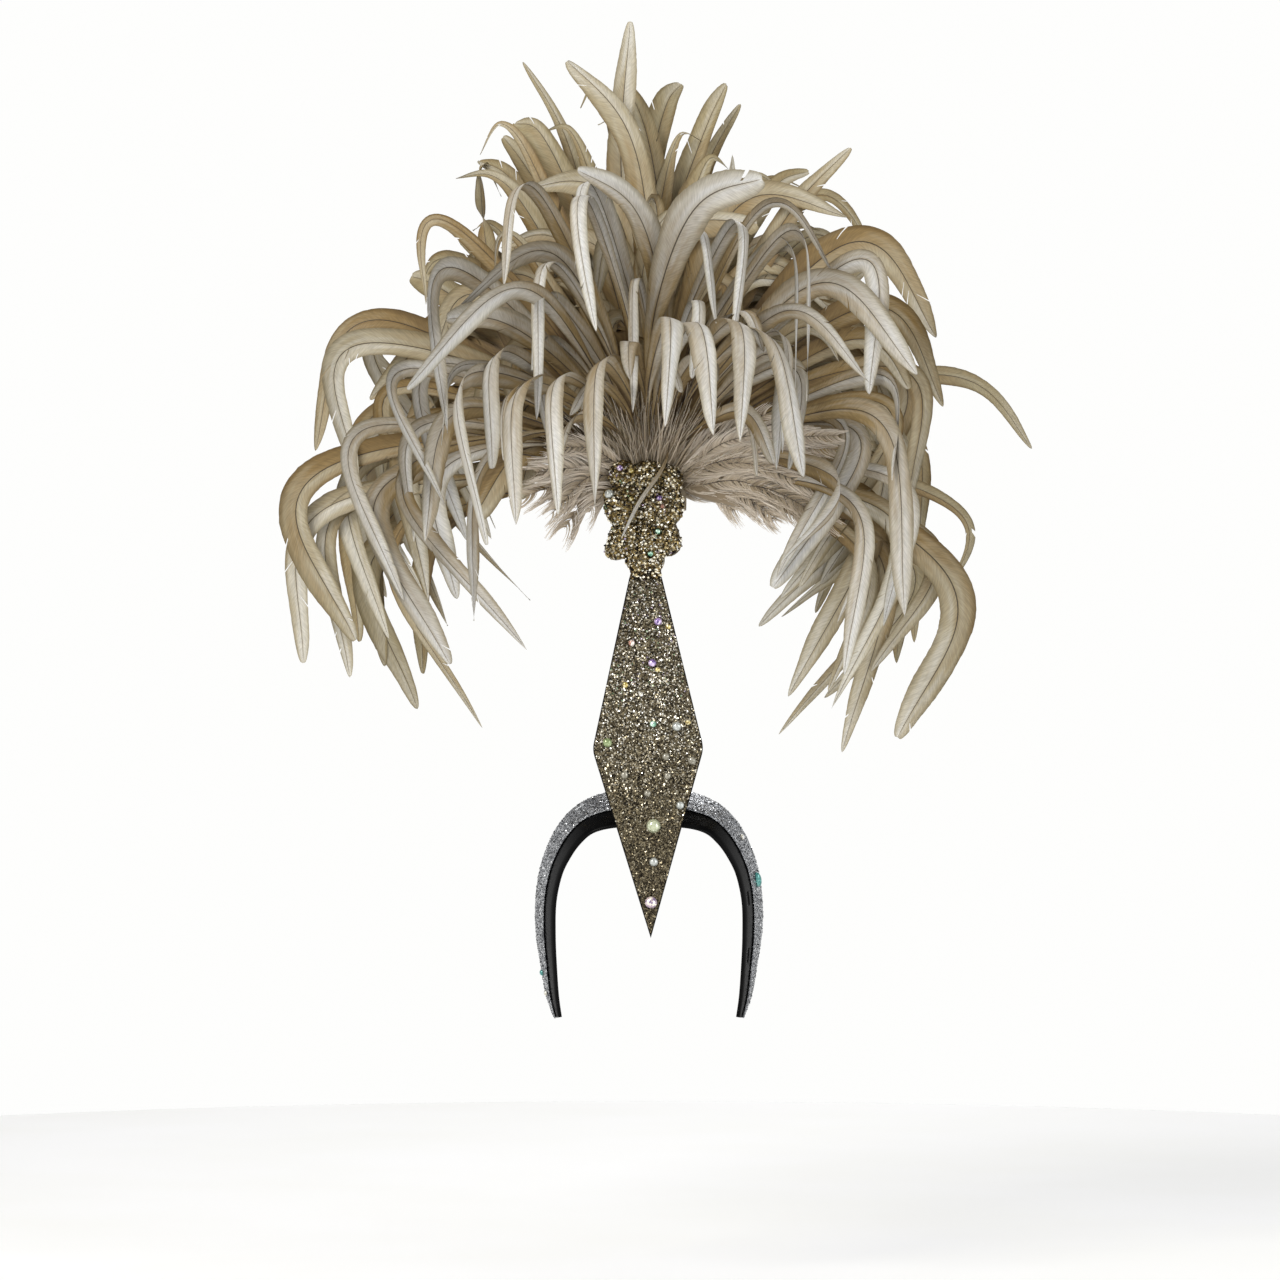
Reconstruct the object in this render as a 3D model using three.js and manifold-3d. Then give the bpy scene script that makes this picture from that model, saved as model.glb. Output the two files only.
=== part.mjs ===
// Feathered headdress: a moulded headband arch with a glitter cover, a kite-shaped crest plate set with
// stones, a cast medallion, and a plume of arching tail feathers in three rows.
// Millimetres, +Z up, the front faces -Y. The origin is the inside of the arch at its crown.

import * as THREE from 'three';
import { mergeVertices } from 'three/addons/utils/BufferGeometryUtils.js';
import Module from 'manifold-3d';

const wasm = await Module();
wasm.setup();

// Clearances
const GLUE_GAP = 0.3; // between a piece and what it is glued or sewn to

// Headband
const BAND_SPAN = 142; // between the front edges of the limbs, where they are widest apart
const BAND_DROP = 146; // from the crown's front edge down to the tips
const BAND_RISE = 24; // the crown's rear edge above its front edge
const BAND_FLARE = 13.5; // the limbs' rear edges outside their front edges
const BAND_DEPTH = 42; // front edge to rear edge
const BAND_FRONT = -60; // the crown's front edge, forward of the origin
const BAND_LEAN = 0.42; // forward for each unit up, so that the arch sits towards the forehead
const BAND_CROWNING = 1.6; // how far the middle of the wall bulges
const SHELL_WALL = 2.2;
const COVER_WALL = 0.9;
const COVER_START = 0.4; // share of the wall, from the front, that stays bare black
const COVER_MARGIN = 0.03; // share of the wall left bare at the rear edge
const SLOT_WIDTH = 2.4;
const ARCH_STEPS = 12; // facets along each limb

// Crest plate
const CREST_LENGTH = 270; // neck to point
const CREST_WIDTH = 82;
const CREST_NECK_WIDTH = 24;
const CREST_BELOW = 82; // how far the point hangs under the crown of the band
const CREST_SHOULDER = 0.52; // height of the widest place, as a share of the length
const CREST_CORNER = 5;
const CREST_WALL = 3;
const CREST_BEVEL = 0.6;
const FACING_WALL = 1;
const FACING_INSET = 0.8; // dark edge of the plate left showing round the facing
const CREST_LEAN = THREE.MathUtils.degToRad(12); // the plate leans back as it rises
const CREST_ROLL = THREE.MathUtils.degToRad(-0.8); // it sits a little askew
const CREST_STANDOFF = 1.1; // plate's back in front of the band's front edge, at the crown

// Medallion
const MEDALLION_WIDTH = 58;
const MEDALLION_HEIGHT = 86;
const MEDALLION_BASE = 3; // thickness of its back plate
const MEDALLION_RELIEF = 7; // how far the lobes stand out
const MEDALLION_NECK_GAP = 3; // between the neck of the kite and the foot of the medallion
const GROOVE_WIDTH = 3;
const GROOVE_LENGTH = 52;
const GROOVE_TILT = THREE.MathUtils.degToRad(8);
const LOW_SEAT = 0.15; // height of a dome's seat on the relief, as a share of it
const HIGH_SEAT = 0.5; // height of a cut stone's seat
const SEAT_RIM = 0.9; // metal round each stone of the medallion

// Stones: heights as shares of the size across, profiles as shares of radius and height
const FACET_HEIGHT = 0.42;
const DOME_HEIGHT = 0.46;
const OVAL_HEIGHT = 0.3;
const OVAL_WIDTH = 0.5;
const FACET_PROFILE = [[0, 0], [0.84, 0], [1, 0.35], [0.58, 1], [0, 1]];
const DOME_PROFILE = [[0, 0], [1, 0], [0.94, 0.42], [0.58, 0.86], [0, 1]];

// Support post
const POST_WIDTH = 16;
const POST_WALL = 4;
const POST_FOOT_WALL = 3;
const POST_GUSSET = 12; // height of the web between foot and stem
const POST_HEEL_SHARE = 0.2; // where the foot starts along the crown, as a share of the band's depth
const POST_TOE_SHARE = 0.9; // where it ends
const POST_TOP_SHARE = 0.85; // how far up the medallion the stem reaches

// Plume
const PLUME_REACH = 350; // hub to the highest tip
const PLUME_HUB_HEIGHT = 71.5; // above the foot of the medallion, which the feathers fan out behind
const BACKING_WIDTH = 56;
const BACKING_HEIGHT = 34;
const BACKING_WALL = 8;
const ROOT_SPREAD = 0.8; // share of the backing over which the quills start
const ROOT_FANNING = 1.6; // how soon a quill starts at the end of the backing, by where its peak lies
const BLADE_WIDTH = 22; // vane of a full-size feather
const BLADE_THICKNESS = 1.5;
const BLADE_TAPER = 0.6; // what the blade loses of its thickness towards its tip
const QUILL_SHARE = 0.14; // width of the bare quill, as a share of the vane
const RISE_FIRST = 0.2; // a stem rises before it leans: its middle's share of the peak's depth
const PEAK_DEPTH = 0.72; // how far back the peak lies, as a share of the tip's depth

// Feathers that fill a row: the fan they leave in, in degrees from the right, how far their tips hang
// round from it, and their sizes as shares of the outline and of the full vane
const FAN_START = 14;
const FAN_SWEEP = 152;
const LEAST_HANG = 8;
const MOST_HANG = 54;
const PEAK_SHARE = 0.86;
const SHORTEST = 0.72;
const LONGEST = 0.96;
const FORESHORTENING = 0.35; // what a feather that leans towards the viewer loses of its outline
const NARROWEST = 0.75;
const WIDEST = 1.1;
const FILL_BOW = 0.09;
const DROOP_OUT = 1.04; // how far out a drooping tip lies, as a share of its peak

// Down at the foot of the front row
const DOWN_REACH = 118; // longest lock
const DOWN_FORWARD = 0.22; // how far the locks lean forward, as a share of their length
const DOWN_WIDTH = 24;
const DOWN_THICKNESS = 13;

// Places along one limb of the band, from the crown to the tip.
// across: share of half the span. drop: share of the drop. out, up: where the rear edge lies from the
// front edge, as shares of the flare and the rise. depth: share of the depth.
const ARCH_COLUMNS = ['across', 'drop', 'out', 'up', 'depth'];
const ARCH = table(ARCH_COLUMNS, [
  [0, 0, 0, 1, 1],
  [0.34, 0.003, 0.52, 0.96, 1],
  [0.58, 0.03, 0.82, 0.75, 1],
  [0.73, 0.09, 1.04, 0.54, 1],
  [0.845, 0.17, 1.1, 0.33, 1],
  [0.93, 0.26, 1.1, 0.1, 0.98],
  [0.99, 0.4, 1.02, 0, 0.96],
  [1, 0.575, 0.96, 0.06, 0.92],
  [0.99, 0.74, 0.74, 0, 0.84],
  [0.972, 0.89, 0.52, -0.06, 0.68],
  [0.945, 1, 0.16, -0.04, 0.4],
]);

// Stitching slots. limb: -1 is the wearer's right, on the left of the front view. along: share of the way
// from crown to tip. across: share of the wall from its front edge. length: in slot widths.
const SLOT_COLUMNS = ['limb', 'along', 'across', 'length'];
const SLOTS = table(SLOT_COLUMNS, [
  [-1, 0.2, 0.8, 4.2],
  [-1, 0.42, 0.7, 3.4],
  [-1, 0.62, 0.78, 4.6],
  [-1, 0.78, 0.6, 3],
  [1, 0.2, 0.8, 4.2],
  [1, 0.28, 0.7, 3.4],
  [1, 0.46, 0.8, 4],
  [1, 0.585, 0.2, 4.2],
  [1, 0.76, 0.2, 5],
]);

// Stones. right: share of half the width. up: share of the length of what they sit on, from its foot.
// size: across, in millimetres. cut: a faceted stone, a round dome or an oval one. glass: its colour.
const STONE_COLUMNS = ['name', 'cut', 'right', 'up', 'size', 'glass'];
const GLASS = {
  iridescent: '#c9c6d8',
  clear: '#dcd8c8',
  topaz: '#d3b23e',
  peridot: '#6f9a4c',
  amethyst: '#8e5fae',
  rose: '#e2b8a8',
  frost: '#b9bdb8',
  smoke: '#8f938f',
  moss: '#8ea06a',
  pearl: '#c9cfae',
  teal: '#2f7f7a',
};
const CREST_STONES = table(STONE_COLUMNS, [
  ['point_rose', 'facet', 0.1, 0.095, 9, 'iridescent'],
  ['point_drop', 'dome', 0.2, 0.206, 6.5, 'frost'],
  ['middle_pearl', 'dome', 0.15, 0.305, 10.5, 'pearl'],
  ['low_clear', 'dome', 0.85, 0.361, 6, 'frost'],
  ['low_grey', 'dome', -0.03, 0.395, 5.5, 'smoke'],
  ['left_grey', 'dome', -0.52, 0.447, 6, 'smoke'],
  ['mid_grey', 'dome', 0.42, 0.443, 5.5, 'smoke'],
  ['right_grey', 'dome', 0.88, 0.484, 6.5, 'smoke'],
  ['upper_grey', 'dome', 0.35, 0.496, 6, 'smoke'],
  ['shoulder_green', 'dome', -0.78, 0.537, 7, 'moss'],
  ['shoulder_frost', 'dome', 0.6, 0.579, 7, 'frost'],
  ['shoulder_small', 'facet', 0.83, 0.59, 4, 'topaz'],
  ['green', 'facet', 0.11, 0.587, 5, 'peridot'],
  ['small_white', 'facet', -0.15, 0.67, 3.6, 'clear'],
  ['left_yellow', 'facet', -0.55, 0.697, 4.6, 'topaz'],
  ['pale_yellow', 'facet', 0.3, 0.738, 4, 'topaz'],
  ['blue_violet', 'facet', 0.16, 0.757, 6, 'amethyst'],
  ['pink_white', 'facet', -0.5, 0.814, 5, 'rose'],
  ['upper_yellow', 'facet', 0.84, 0.858, 4.4, 'topaz'],
  ['violet', 'facet', 0.48, 0.873, 6, 'amethyst'],
]);
const MEDALLION_STONES = table(STONE_COLUMNS, [
  ['foot_green', 'facet', 0.13, 0.158, 4.4, 'peridot'],
  ['low_green', 'facet', 0.33, 0.355, 4.6, 'peridot'],
  ['peach', 'facet', 0.46, 0.575, 4, 'rose'],
  ['magenta', 'facet', 0.38, 0.65, 4.6, 'amethyst'],
  ['mid_yellow', 'facet', -0.34, 0.646, 4.2, 'topaz'],
  ['white_yellow', 'facet', 0.26, 0.815, 5, 'clear'],
  ['top_yellow', 'facet', -0.34, 0.9, 4.4, 'topaz'],
  ['lilac', 'facet', -0.62, 0.925, 4.8, 'amethyst'],
  ['side_clear', 'dome', -0.9, 0.7, 7.4, 'frost'],
]);
// Gems of the band. limb and along as for the slots, across as a share of the wall.
const GEM_COLUMNS = ['name', 'limb', 'along', 'across', 'size', 'cut', 'glass'];
const BAND_GEMS = table(GEM_COLUMNS, [
  ['teal_oval', 1, 0.53, 0.68, 12, 'oval', 'teal'],
  ['teal_small', -1, 0.82, 0.78, 4.6, 'dome', 'teal'],
  ['white_small', -1, 0.885, 0.62, 4.4, 'facet', 'clear'],
  ['light_upper', 1, 0.35, 0.7, 4.4, 'facet', 'clear'],
]);

// Lobes of the medallion. right, up: shares of half the width and of the height. wide, tall: shares of
// the width and the height. out: share of the relief.
const LOBE_COLUMNS = ['right', 'up', 'wide', 'tall', 'out'];
const LOBES = table(LOBE_COLUMNS, [
  [0, 0.12, 0.5, 0.3, 0.75],
  [0.24, 0.33, 0.64, 0.4, 0.9],
  [-0.34, 0.31, 0.6, 0.38, 0.85],
  [0.6, 0.27, 0.34, 0.24, 0.7],
  [-0.74, 0.22, 0.3, 0.2, 0.65],
  [0.42, 0.6, 0.6, 0.42, 1],
  [-0.42, 0.6, 0.62, 0.42, 0.95],
  [0.12, 0.84, 0.46, 0.32, 0.85],
  [-0.5, 0.87, 0.42, 0.26, 0.8],
  [0.6, 0.82, 0.4, 0.28, 0.7],
]);

// Feathers that show one by one. peak and tip: across and above the hub, as shares of the reach, seen
// from the front. bow: how far the stem arches to the upper side before its peak. depth: how far back
// the tip lies, as a share of the reach. width: share of the full vane.
const FEATHER_COLUMNS = ['row', 'peakX', 'peakZ', 'tipX', 'tipZ', 'bow', 'depth', 'width'];
const FEATHERS = table(FEATHER_COLUMNS, [
  ['middle', -0.06, 0.7, -0.04, 1.0, 0, 0.04, 1],
  ['middle', -0.05, 0.77, -0.175, 0.91, 0.05, 0, 0.95],
  ['back', -0.18, 0.765, -0.275, 0.935, 0, 0.16, 0.55],
  ['middle', -0.33, 0.78, -0.375, 0.715, 0.06, 0.06, 0.65],
  ['back', -0.375, 0.71, -0.345, 0.645, -0.14, 0.2, 0.8],
  ['middle', -0.485, 0.57, -0.51, 0.39, 0.1, 0.02, 0.6],
  ['front', -0.275, 0.62, -0.33, 0.4, 0.08, -0.28, 0.7],
  ['front', -0.445, 0.44, -0.457, 0.095, 0.1, -0.3, 0.85],
  ['middle', -0.635, 0.345, -0.74, 0.075, 0.1, 0, 1],
  ['back', 0.12, 0.69, 0.2, 0.845, 0, 0.18, 0.65],
  ['middle', 0.165, 0.54, 0.18, 0.715, 0.04, 0.06, 0.6],
  ['back', 0.26, 0.68, 0.33, 0.67, 0.08, 0.22, 0.65],
  ['middle', 0.315, 0.605, 0.435, 0.73, 0.03, 0.06, 0.7],
  ['back', 0.385, 0.645, 0.51, 0.525, 0.08, 0.22, 0.65],
  ['front', 0.27, 0.59, 0.405, 0.415, 0.08, -0.16, 0.45],
  ['middle', 0.475, 0.525, 0.64, 0.32, 0.1, 0.04, 1],
  ['front', 0.315, 0.52, 0.35, 0.16, 0.08, -0.32, 0.8],
  ['front', 0.47, 0.465, 0.49, 0.18, 0.08, -0.2, 0.75],
  ['middle', 0.515, 0.38, 0.65, 0.17, 0.1, 0, 0.95],
  ['back', 0.715, 0.237, 0.855, 0.095, 0.1, 0.24, 0.65],
  ['middle', -0.75, -0.02, -0.63, -0.33, 0.16, 0.02, 1],
  ['front', -0.583, -0.04, -0.446, -0.385, 0.16, -0.18, 0.95],
  ['middle', -0.555, -0.13, -0.378, -0.52, 0.22, 0.1, 0.45],
  ['front', -0.52, 0.0, -0.27, -0.355, 0.16, -0.26, 0.8],
  ['front', -0.35, 0.02, -0.367, -0.295, 0.2, -0.34, 0.7],
  ['front', -0.39, 0.2, -0.335, -0.14, 0.14, -0.42, 0.95],
  ['front', -0.273, 0.18, -0.275, -0.1, 0.12, -0.48, 0.8],
  ['front', -0.196, 0.196, -0.192, -0.08, 0.1, -0.52, 0.8],
  ['front', -0.107, 0.23, -0.12, -0.066, 0.08, -0.56, 0.8],
  ['middle', 0.53, -0.17, 0.303, -0.534, 0.22, 0.08, 0.45],
  ['middle', 0.47, -0.17, 0.395, -0.44, 0.2, 0.03, 0.6],
  ['middle', 0.66, -0.235, 0.54, -0.538, 0.22, 0, 1.15],
  ['back', 0.705, -0.075, 0.68, -0.207, 0.14, 0.24, 0.45],
  ['front', 0.405, -0.02, 0.29, -0.175, 0.16, -0.3, 0.7],
  ['front', 0.465, -0.107, 0.408, -0.3, 0.18, -0.2, 0.45],
  ['front', 0.047, 0.325, 0.047, 0.096, 0.06, -0.56, 0.85],
  ['front', 0.11, 0.316, 0.158, 0.081, 0.08, -0.52, 0.85],
  ['front', 0.192, 0.32, 0.21, 0.07, 0.1, -0.48, 0.8],
  ['front', 0.25, 0.3, 0.34, 0, 0.12, -0.4, 0.8],
]);

// How far the plume reaches at each angle round its hub, in degrees from the right, as a share.
const OUTLINE = table(['angle', 'reach'], [
  [-60, 0.6],
  [-40, 0.74],
  [-20, 0.71],
  [0, 0.66],
  [25, 0.7],
  [45, 0.74],
  [60, 0.82],
  [76, 0.84],
  [90, 0.95],
  [105, 0.92],
  [118, 0.8],
  [135, 0.72],
  [160, 0.74],
  [180, 0.75],
  [205, 0.72],
  [225, 0.6],
  [240, 0.55],
]);

// Feathers that droop at the two ends of a row, one of each at either end. angle: where the peak lies,
// in degrees above the level. reach: of the peak, as a share of the outline. hang: of the tip under the
// peak, as a share of the plume's reach.
const DROOPS = table(['row', 'angle', 'reach', 'hang', 'depth'], [
  ['back', 34, 0.8, 0.18, 0.3],
  ['back', 24, 0.66, 0.24, 0.42],
  ['back', 13, 0.86, 0.29, 0.22],
  ['back', 1, 0.86, 0.34, 0.36],
  ['back', -8, 0.8, 0.3, 0.2],
  ['back', -14, 0.68, 0.28, 0.36],
]);

// Locks of down beside the medallion. angle: in degrees from the right. reach: share of the longest.
const DOWN = table(['angle', 'reach'], [
  [-26, 0.62],
  [-8, 0.9],
  [10, 1],
  [30, 0.72],
  [150, 0.5],
  [172, 0.6],
  [196, 0.58],
  [216, 0.44],
]);

// Rows of the plume, front to back. order: which backing they are sewn to. shallow, deep: range of the
// depths of the feathers that fill the row. fill: how many of them there are.
const ROWS = table(['name', 'order', 'shallow', 'deep', 'fill'], [
  ['front', 0, -0.16, -0.46, 9],
  ['middle', 1, 0, 0.06, 12],
  ['back', 2, 0.22, 0.56, 14],
]);

// Gives each row of a table the names of its columns.
function table(columns, rows) {
  return rows.map((row) => Object.fromEntries(columns.map((column, index) => [column, row[index]])));
}

// A number from 0 to 1 that is always the same for the same seed and draw.
function scatter(seed, draw) {
  const mixed = Math.sin(seed * 12.9898 + draw * 78.233 + 4.1414) * 43758.5453;
  return mixed - Math.floor(mixed);
}

function vec(x, y, z) {
  return new THREE.Vector3(x, y, z);
}

function material(colour, roughness, metalness = 0) {
  return new THREE.MeshStandardMaterial({ color: colour, roughness, metalness });
}

// A closed solid skinned over rings that all have the same even number of points.
function loft(rings) {
  const sides = rings[0].length;
  const faces = [];
  for (let ring = 0; ring + 1 < rings.length; ring += 1) {
    for (let side = 0; side < sides; side += 1) {
      const near = ring * sides + side;
      const next = ring * sides + ((side + 1) % sides);
      if (side < sides / 2) {
        faces.push(near, next, next + sides, near, next + sides, near + sides);
      } else {
        faces.push(near, next, near + sides, next, next + sides, near + sides);
      }
    }
  }
  const last = (rings.length - 1) * sides;
  for (let step = 0; step < sides / 2 - 1; step += 1) {
    const [a, b, c, d] = [step, step + 1, sides - 2 - step, sides - 1 - step];
    faces.push(a, c, b, a, d, c);
    faces.push(last + a, last + b, last + c, last + a, last + c, last + d);
  }
  const geometry = new THREE.BufferGeometry();
  const places = rings.flat().flatMap((point) => [point.x, point.y, point.z]);
  geometry.setAttribute('position', new THREE.Float32BufferAttribute(places, 3));
  geometry.setIndex(faces);
  return facingOut(geometry);
}

// Turns the faces round if they point inwards.
function facingOut(geometry) {
  const place = geometry.attributes.position;
  const faces = geometry.index.array;
  const corner = (index) => vec(place.getX(index), place.getY(index), place.getZ(index));
  let volume = 0;
  for (let face = 0; face < faces.length; face += 3) {
    const [a, b, c] = [corner(faces[face]), corner(faces[face + 1]), corner(faces[face + 2])];
    volume += a.dot(b.cross(c));
  }
  if (volume < 0) {
    for (let face = 0; face < faces.length; face += 3) {
      [faces[face], faces[face + 1]] = [faces[face + 1], faces[face]];
    }
  }
  return geometry;
}

function toSolid(geometry) {
  const bare = geometry.clone();
  bare.deleteAttribute('normal');
  bare.deleteAttribute('uv');
  const merged = mergeVertices(bare, 1e-4);
  const vertProperties = new Float32Array(merged.attributes.position.array);
  const triVerts = new Uint32Array(merged.index.array);
  return new wasm.Manifold(new wasm.Mesh({ numProp: 3, vertProperties, triVerts }));
}

function toGeometry(solid) {
  const mesh = solid.getMesh();
  const geometry = new THREE.BufferGeometry();
  geometry.setAttribute('position', new THREE.BufferAttribute(mesh.vertProperties, 3));
  geometry.setIndex(new THREE.BufferAttribute(mesh.triVerts, 1));
  geometry.computeVertexNormals();
  return geometry;
}

function join(geometries) {
  return toGeometry(filled(geometries.map(toSolid).reduce((whole, piece) => whole.add(piece))));
}

// The solid without the small closed pockets that crossing pieces leave inside it.
function filled(solid) {
  const shells = toSolid(toGeometry(solid)).decompose();
  return shells.reduce((whole, shell) => (shell.volume() > whole.volume() ? shell : whole));
}

function cut(geometry, cutters) {
  const rest = cutters.map(toSolid).reduce((whole, cutter) => whole.subtract(cutter), toSolid(geometry));
  return toGeometry(rest);
}

function addMesh(parent, name, geometry, look) {
  const mesh = new THREE.Mesh(geometry, look);
  mesh.name = name;
  parent.add(mesh);
  return mesh;
}

// Headband: where the front edge and the rear edge run at a share of the way from crown to tip.
function archPlace(limb, along) {
  const at = Math.abs(along) * (ARCH.length - 1);
  const before = Math.min(Math.floor(at), ARCH.length - 2);
  const part = at - before;
  const value = (column) => {
    const near = (index) => ARCH[Math.min(Math.abs(index), ARCH.length - 1)][column];
    const sign = (index) => (index < 0 && (column === 'across' || column === 'out') ? -1 : 1);
    const [p0, p1, p2, p3] = [-1, 0, 1, 2].map((step) => sign(before + step) * near(before + step));
    const bend = p3 - p0 + 3 * (p1 - p2);
    return p1 + 0.5 * part * (p2 - p0 + part * (2 * p0 - 5 * p1 + 4 * p2 - p3 + part * bend));
  };
  const frontX = limb * value('across') * BAND_SPAN / 2;
  const frontZ = -value('drop') * BAND_DROP;
  const front = vec(frontX, BAND_FRONT - frontZ * BAND_LEAN, frontZ);
  const slope = vec(limb * value('out') * BAND_FLARE, value('depth') * BAND_DEPTH, value('up') * BAND_RISE);
  return { front, rear: front.clone().add(slope), slope };
}

// Which way the wall faces, away from the head.
function archOutward(limb, along) {
  const step = 0.01;
  const here = archPlace(limb, along);
  const ahead = archPlace(limb, Math.min(along + step, 1)).front;
  const behind = along < step ? archPlace(-limb, step).front : archPlace(limb, along - step).front;
  const run = ahead.sub(behind);
  const outward = run.cross(here.slope).normalize();
  return outward.multiplyScalar(limb);
}

// A point of the wall: share across from the front edge, and how far outside the shell's outer face.
function wallPoint(limb, along, across, outside) {
  const { front, slope } = archPlace(limb, along);
  const bulge = BAND_CROWNING * 4 * across * (1 - across);
  const outward = archOutward(limb, along).multiplyScalar(bulge + outside);
  return front.clone().addScaledVector(slope, across).add(outward);
}

const COVER_MIDDLE = (COVER_START + 1 - COVER_MARGIN) / 2;

function bandWall(shares, inside, outside) {
  const rings = [];
  for (let step = -ARCH_STEPS; step <= ARCH_STEPS; step += 1) {
    const limb = step < 0 ? -1 : 1;
    const along = Math.abs(step) / ARCH_STEPS;
    const outer = shares.map((share) => wallPoint(limb, along, share, outside));
    const inner = shares.map((share) => wallPoint(limb, along, share, inside)).reverse();
    rings.push([...outer, ...inner]);
  }
  return loft(rings);
}

// A round-ended cutter through the wall, long way along the limb.
function slotCutter(slot) {
  const length = slot.length * SLOT_WIDTH;
  const through = 4 * (SHELL_WALL + COVER_WALL);
  const shape = new THREE.Shape();
  const reach = (length - SLOT_WIDTH) / 2;
  shape.absarc(reach, 0, SLOT_WIDTH / 2, -Math.PI / 2, Math.PI / 2);
  shape.absarc(-reach, 0, SLOT_WIDTH / 2, Math.PI / 2, 1.5 * Math.PI);
  const cutter = new THREE.ExtrudeGeometry(shape, { depth: through, bevelEnabled: false, curveSegments: 2 });
  cutter.translate(0, 0, -through / 2);
  return cutter.applyMatrix4(wallFrame(slot.limb, slot.along, slot.across, 0));
}

// Local X runs along the limb, local Z points away from the head.
function wallFrame(limb, along, across, outside) {
  const step = 0.02;
  const centre = wallPoint(limb, along, across, outside);
  const run = wallPoint(limb, along + step, across, outside).sub(centre).normalize();
  const outward = archOutward(limb, along);
  const side = outward.clone().cross(run).normalize();
  const frame = new THREE.Matrix4().makeBasis(run, side, side.clone().cross(run).negate());
  return frame.setPosition(centre);
}

const headdress = new THREE.Group();
headdress.name = 'feathered_headdress';

const BLACK_PLASTIC = material('#121212', 0.25);
const SILVER_GLITTER = material('#8d8f92', 0.5, 0.4);
const BRONZE_GLITTER = material('#7b705c', 0.5, 0.4);
const CAST_BRONZE = material('#6f675a', 0.45, 0.5);

const slotCutters = SLOTS.map(slotCutter);
const coverShares = [COVER_START, COVER_MIDDLE, 1 - COVER_MARGIN];
const shellShares = [0, ...coverShares, 1];
addMesh(headdress, 'band_shell', cut(bandWall(shellShares, -SHELL_WALL, 0), slotCutters), BLACK_PLASTIC);
const coverWall = bandWall(coverShares, GLUE_GAP, GLUE_GAP + COVER_WALL);
const coverCutters = SLOTS.filter((slot) => slot.across > COVER_START).map(slotCutter);
addMesh(headdress, 'band_cover', cut(coverWall, coverCutters), SILVER_GLITTER);

// A solid turned round local Z from a profile of shares.
function turned(profile, radius, height, sides) {
  const points = profile.map(([out, up]) => new THREE.Vector2(out * radius, up * height));
  return new THREE.LatheGeometry(points, sides).rotateX(Math.PI / 2);
}

// Stones: flat back on local Z = 0, table or dome towards +Z.
function stoneGeometry(cutName, size) {
  if (cutName === 'facet') {
    return turned(FACET_PROFILE, size / 2, size * FACET_HEIGHT, 8);
  }
  if (cutName === 'dome') {
    return turned(DOME_PROFILE, size / 2, size * DOME_HEIGHT, 10);
  }
  return turned(DOME_PROFILE, size / 2, size * OVAL_HEIGHT, 10).scale(1, OVAL_WIDTH, 1);
}

function stoneLook(stone) {
  return material(GLASS[stone.glass], 0.15);
}

BAND_GEMS.forEach((gem) => {
  const seat = wallFrame(gem.limb, gem.along, gem.across, 2 * GLUE_GAP + COVER_WALL);
  const geometry = stoneGeometry(gem.cut, gem.size).applyMatrix4(seat);
  addMesh(headdress, `band_gem_${gem.name}`, geometry, stoneLook(gem));
});

// Crest: a group that leans back. Its local Z runs up the plate and its back is at local Y = 0.
const crest = new THREE.Group();
crest.position.set(0, BAND_FRONT - CREST_STANDOFF, 0);
crest.rotation.set(-CREST_LEAN, CREST_ROLL, 0);
headdress.add(crest);
crest.updateMatrix();

const CREST_FOOT = -CREST_BELOW / Math.cos(CREST_LEAN);

function kiteHalfWidth(share) {
  if (share < CREST_SHOULDER) {
    return CREST_WIDTH / 2 * (share / CREST_SHOULDER);
  }
  const above = (share - CREST_SHOULDER) / (1 - CREST_SHOULDER);
  return THREE.MathUtils.lerp(CREST_WIDTH / 2, CREST_NECK_WIDTH / 2, above);
}

// The kite's outline, drawn inside its edge by an inset, with rounded shoulders.
function kiteShape(inset) {
  const steepness = (CREST_SHOULDER * CREST_LENGTH) / (CREST_WIDTH / 2);
  const foot = CREST_FOOT + steepness * inset;
  const neck = CREST_FOOT + CREST_LENGTH - inset;
  const shoulder = CREST_FOOT + CREST_SHOULDER * CREST_LENGTH;
  const half = CREST_WIDTH / 2 - inset;
  const neckHalf = CREST_NECK_WIDTH / 2 - inset;
  const lowHalf = half * (1 - CREST_CORNER / (shoulder - foot));
  const highHalf = THREE.MathUtils.lerp(half, neckHalf, CREST_CORNER / (neck - shoulder));
  const shape = new THREE.Shape();
  shape.moveTo(0, foot);
  shape.lineTo(lowHalf, shoulder - CREST_CORNER);
  shape.quadraticCurveTo(half, shoulder, highHalf, shoulder + CREST_CORNER);
  shape.lineTo(neckHalf, neck);
  shape.lineTo(-neckHalf, neck);
  shape.lineTo(-highHalf, shoulder + CREST_CORNER);
  shape.quadraticCurveTo(-half, shoulder, -lowHalf, shoulder - CREST_CORNER);
  shape.closePath();
  return shape;
}

// A plate cut from an outline, from a back face towards the front.
function plate(shape, back, wall, bevel) {
  const geometry = new THREE.ExtrudeGeometry(shape, {
    depth: wall - bevel,
    bevelEnabled: bevel > 0,
    bevelThickness: bevel / 2,
    bevelSize: bevel / 2,
    bevelOffset: -bevel / 2,
    bevelSegments: 1,
    curveSegments: 4,
  });
  return geometry.rotateX(Math.PI / 2).translate(0, back - bevel / 2, 0);
}

const facingBack = -CREST_WALL - GLUE_GAP;
const facingFront = facingBack - FACING_WALL;
addMesh(crest, 'crest_plate', plate(kiteShape(0), 0, CREST_WALL, CREST_BEVEL), BLACK_PLASTIC);
addMesh(crest, 'crest_facing', plate(kiteShape(FACING_INSET), facingBack, FACING_WALL, 0), BRONZE_GLITTER);

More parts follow.
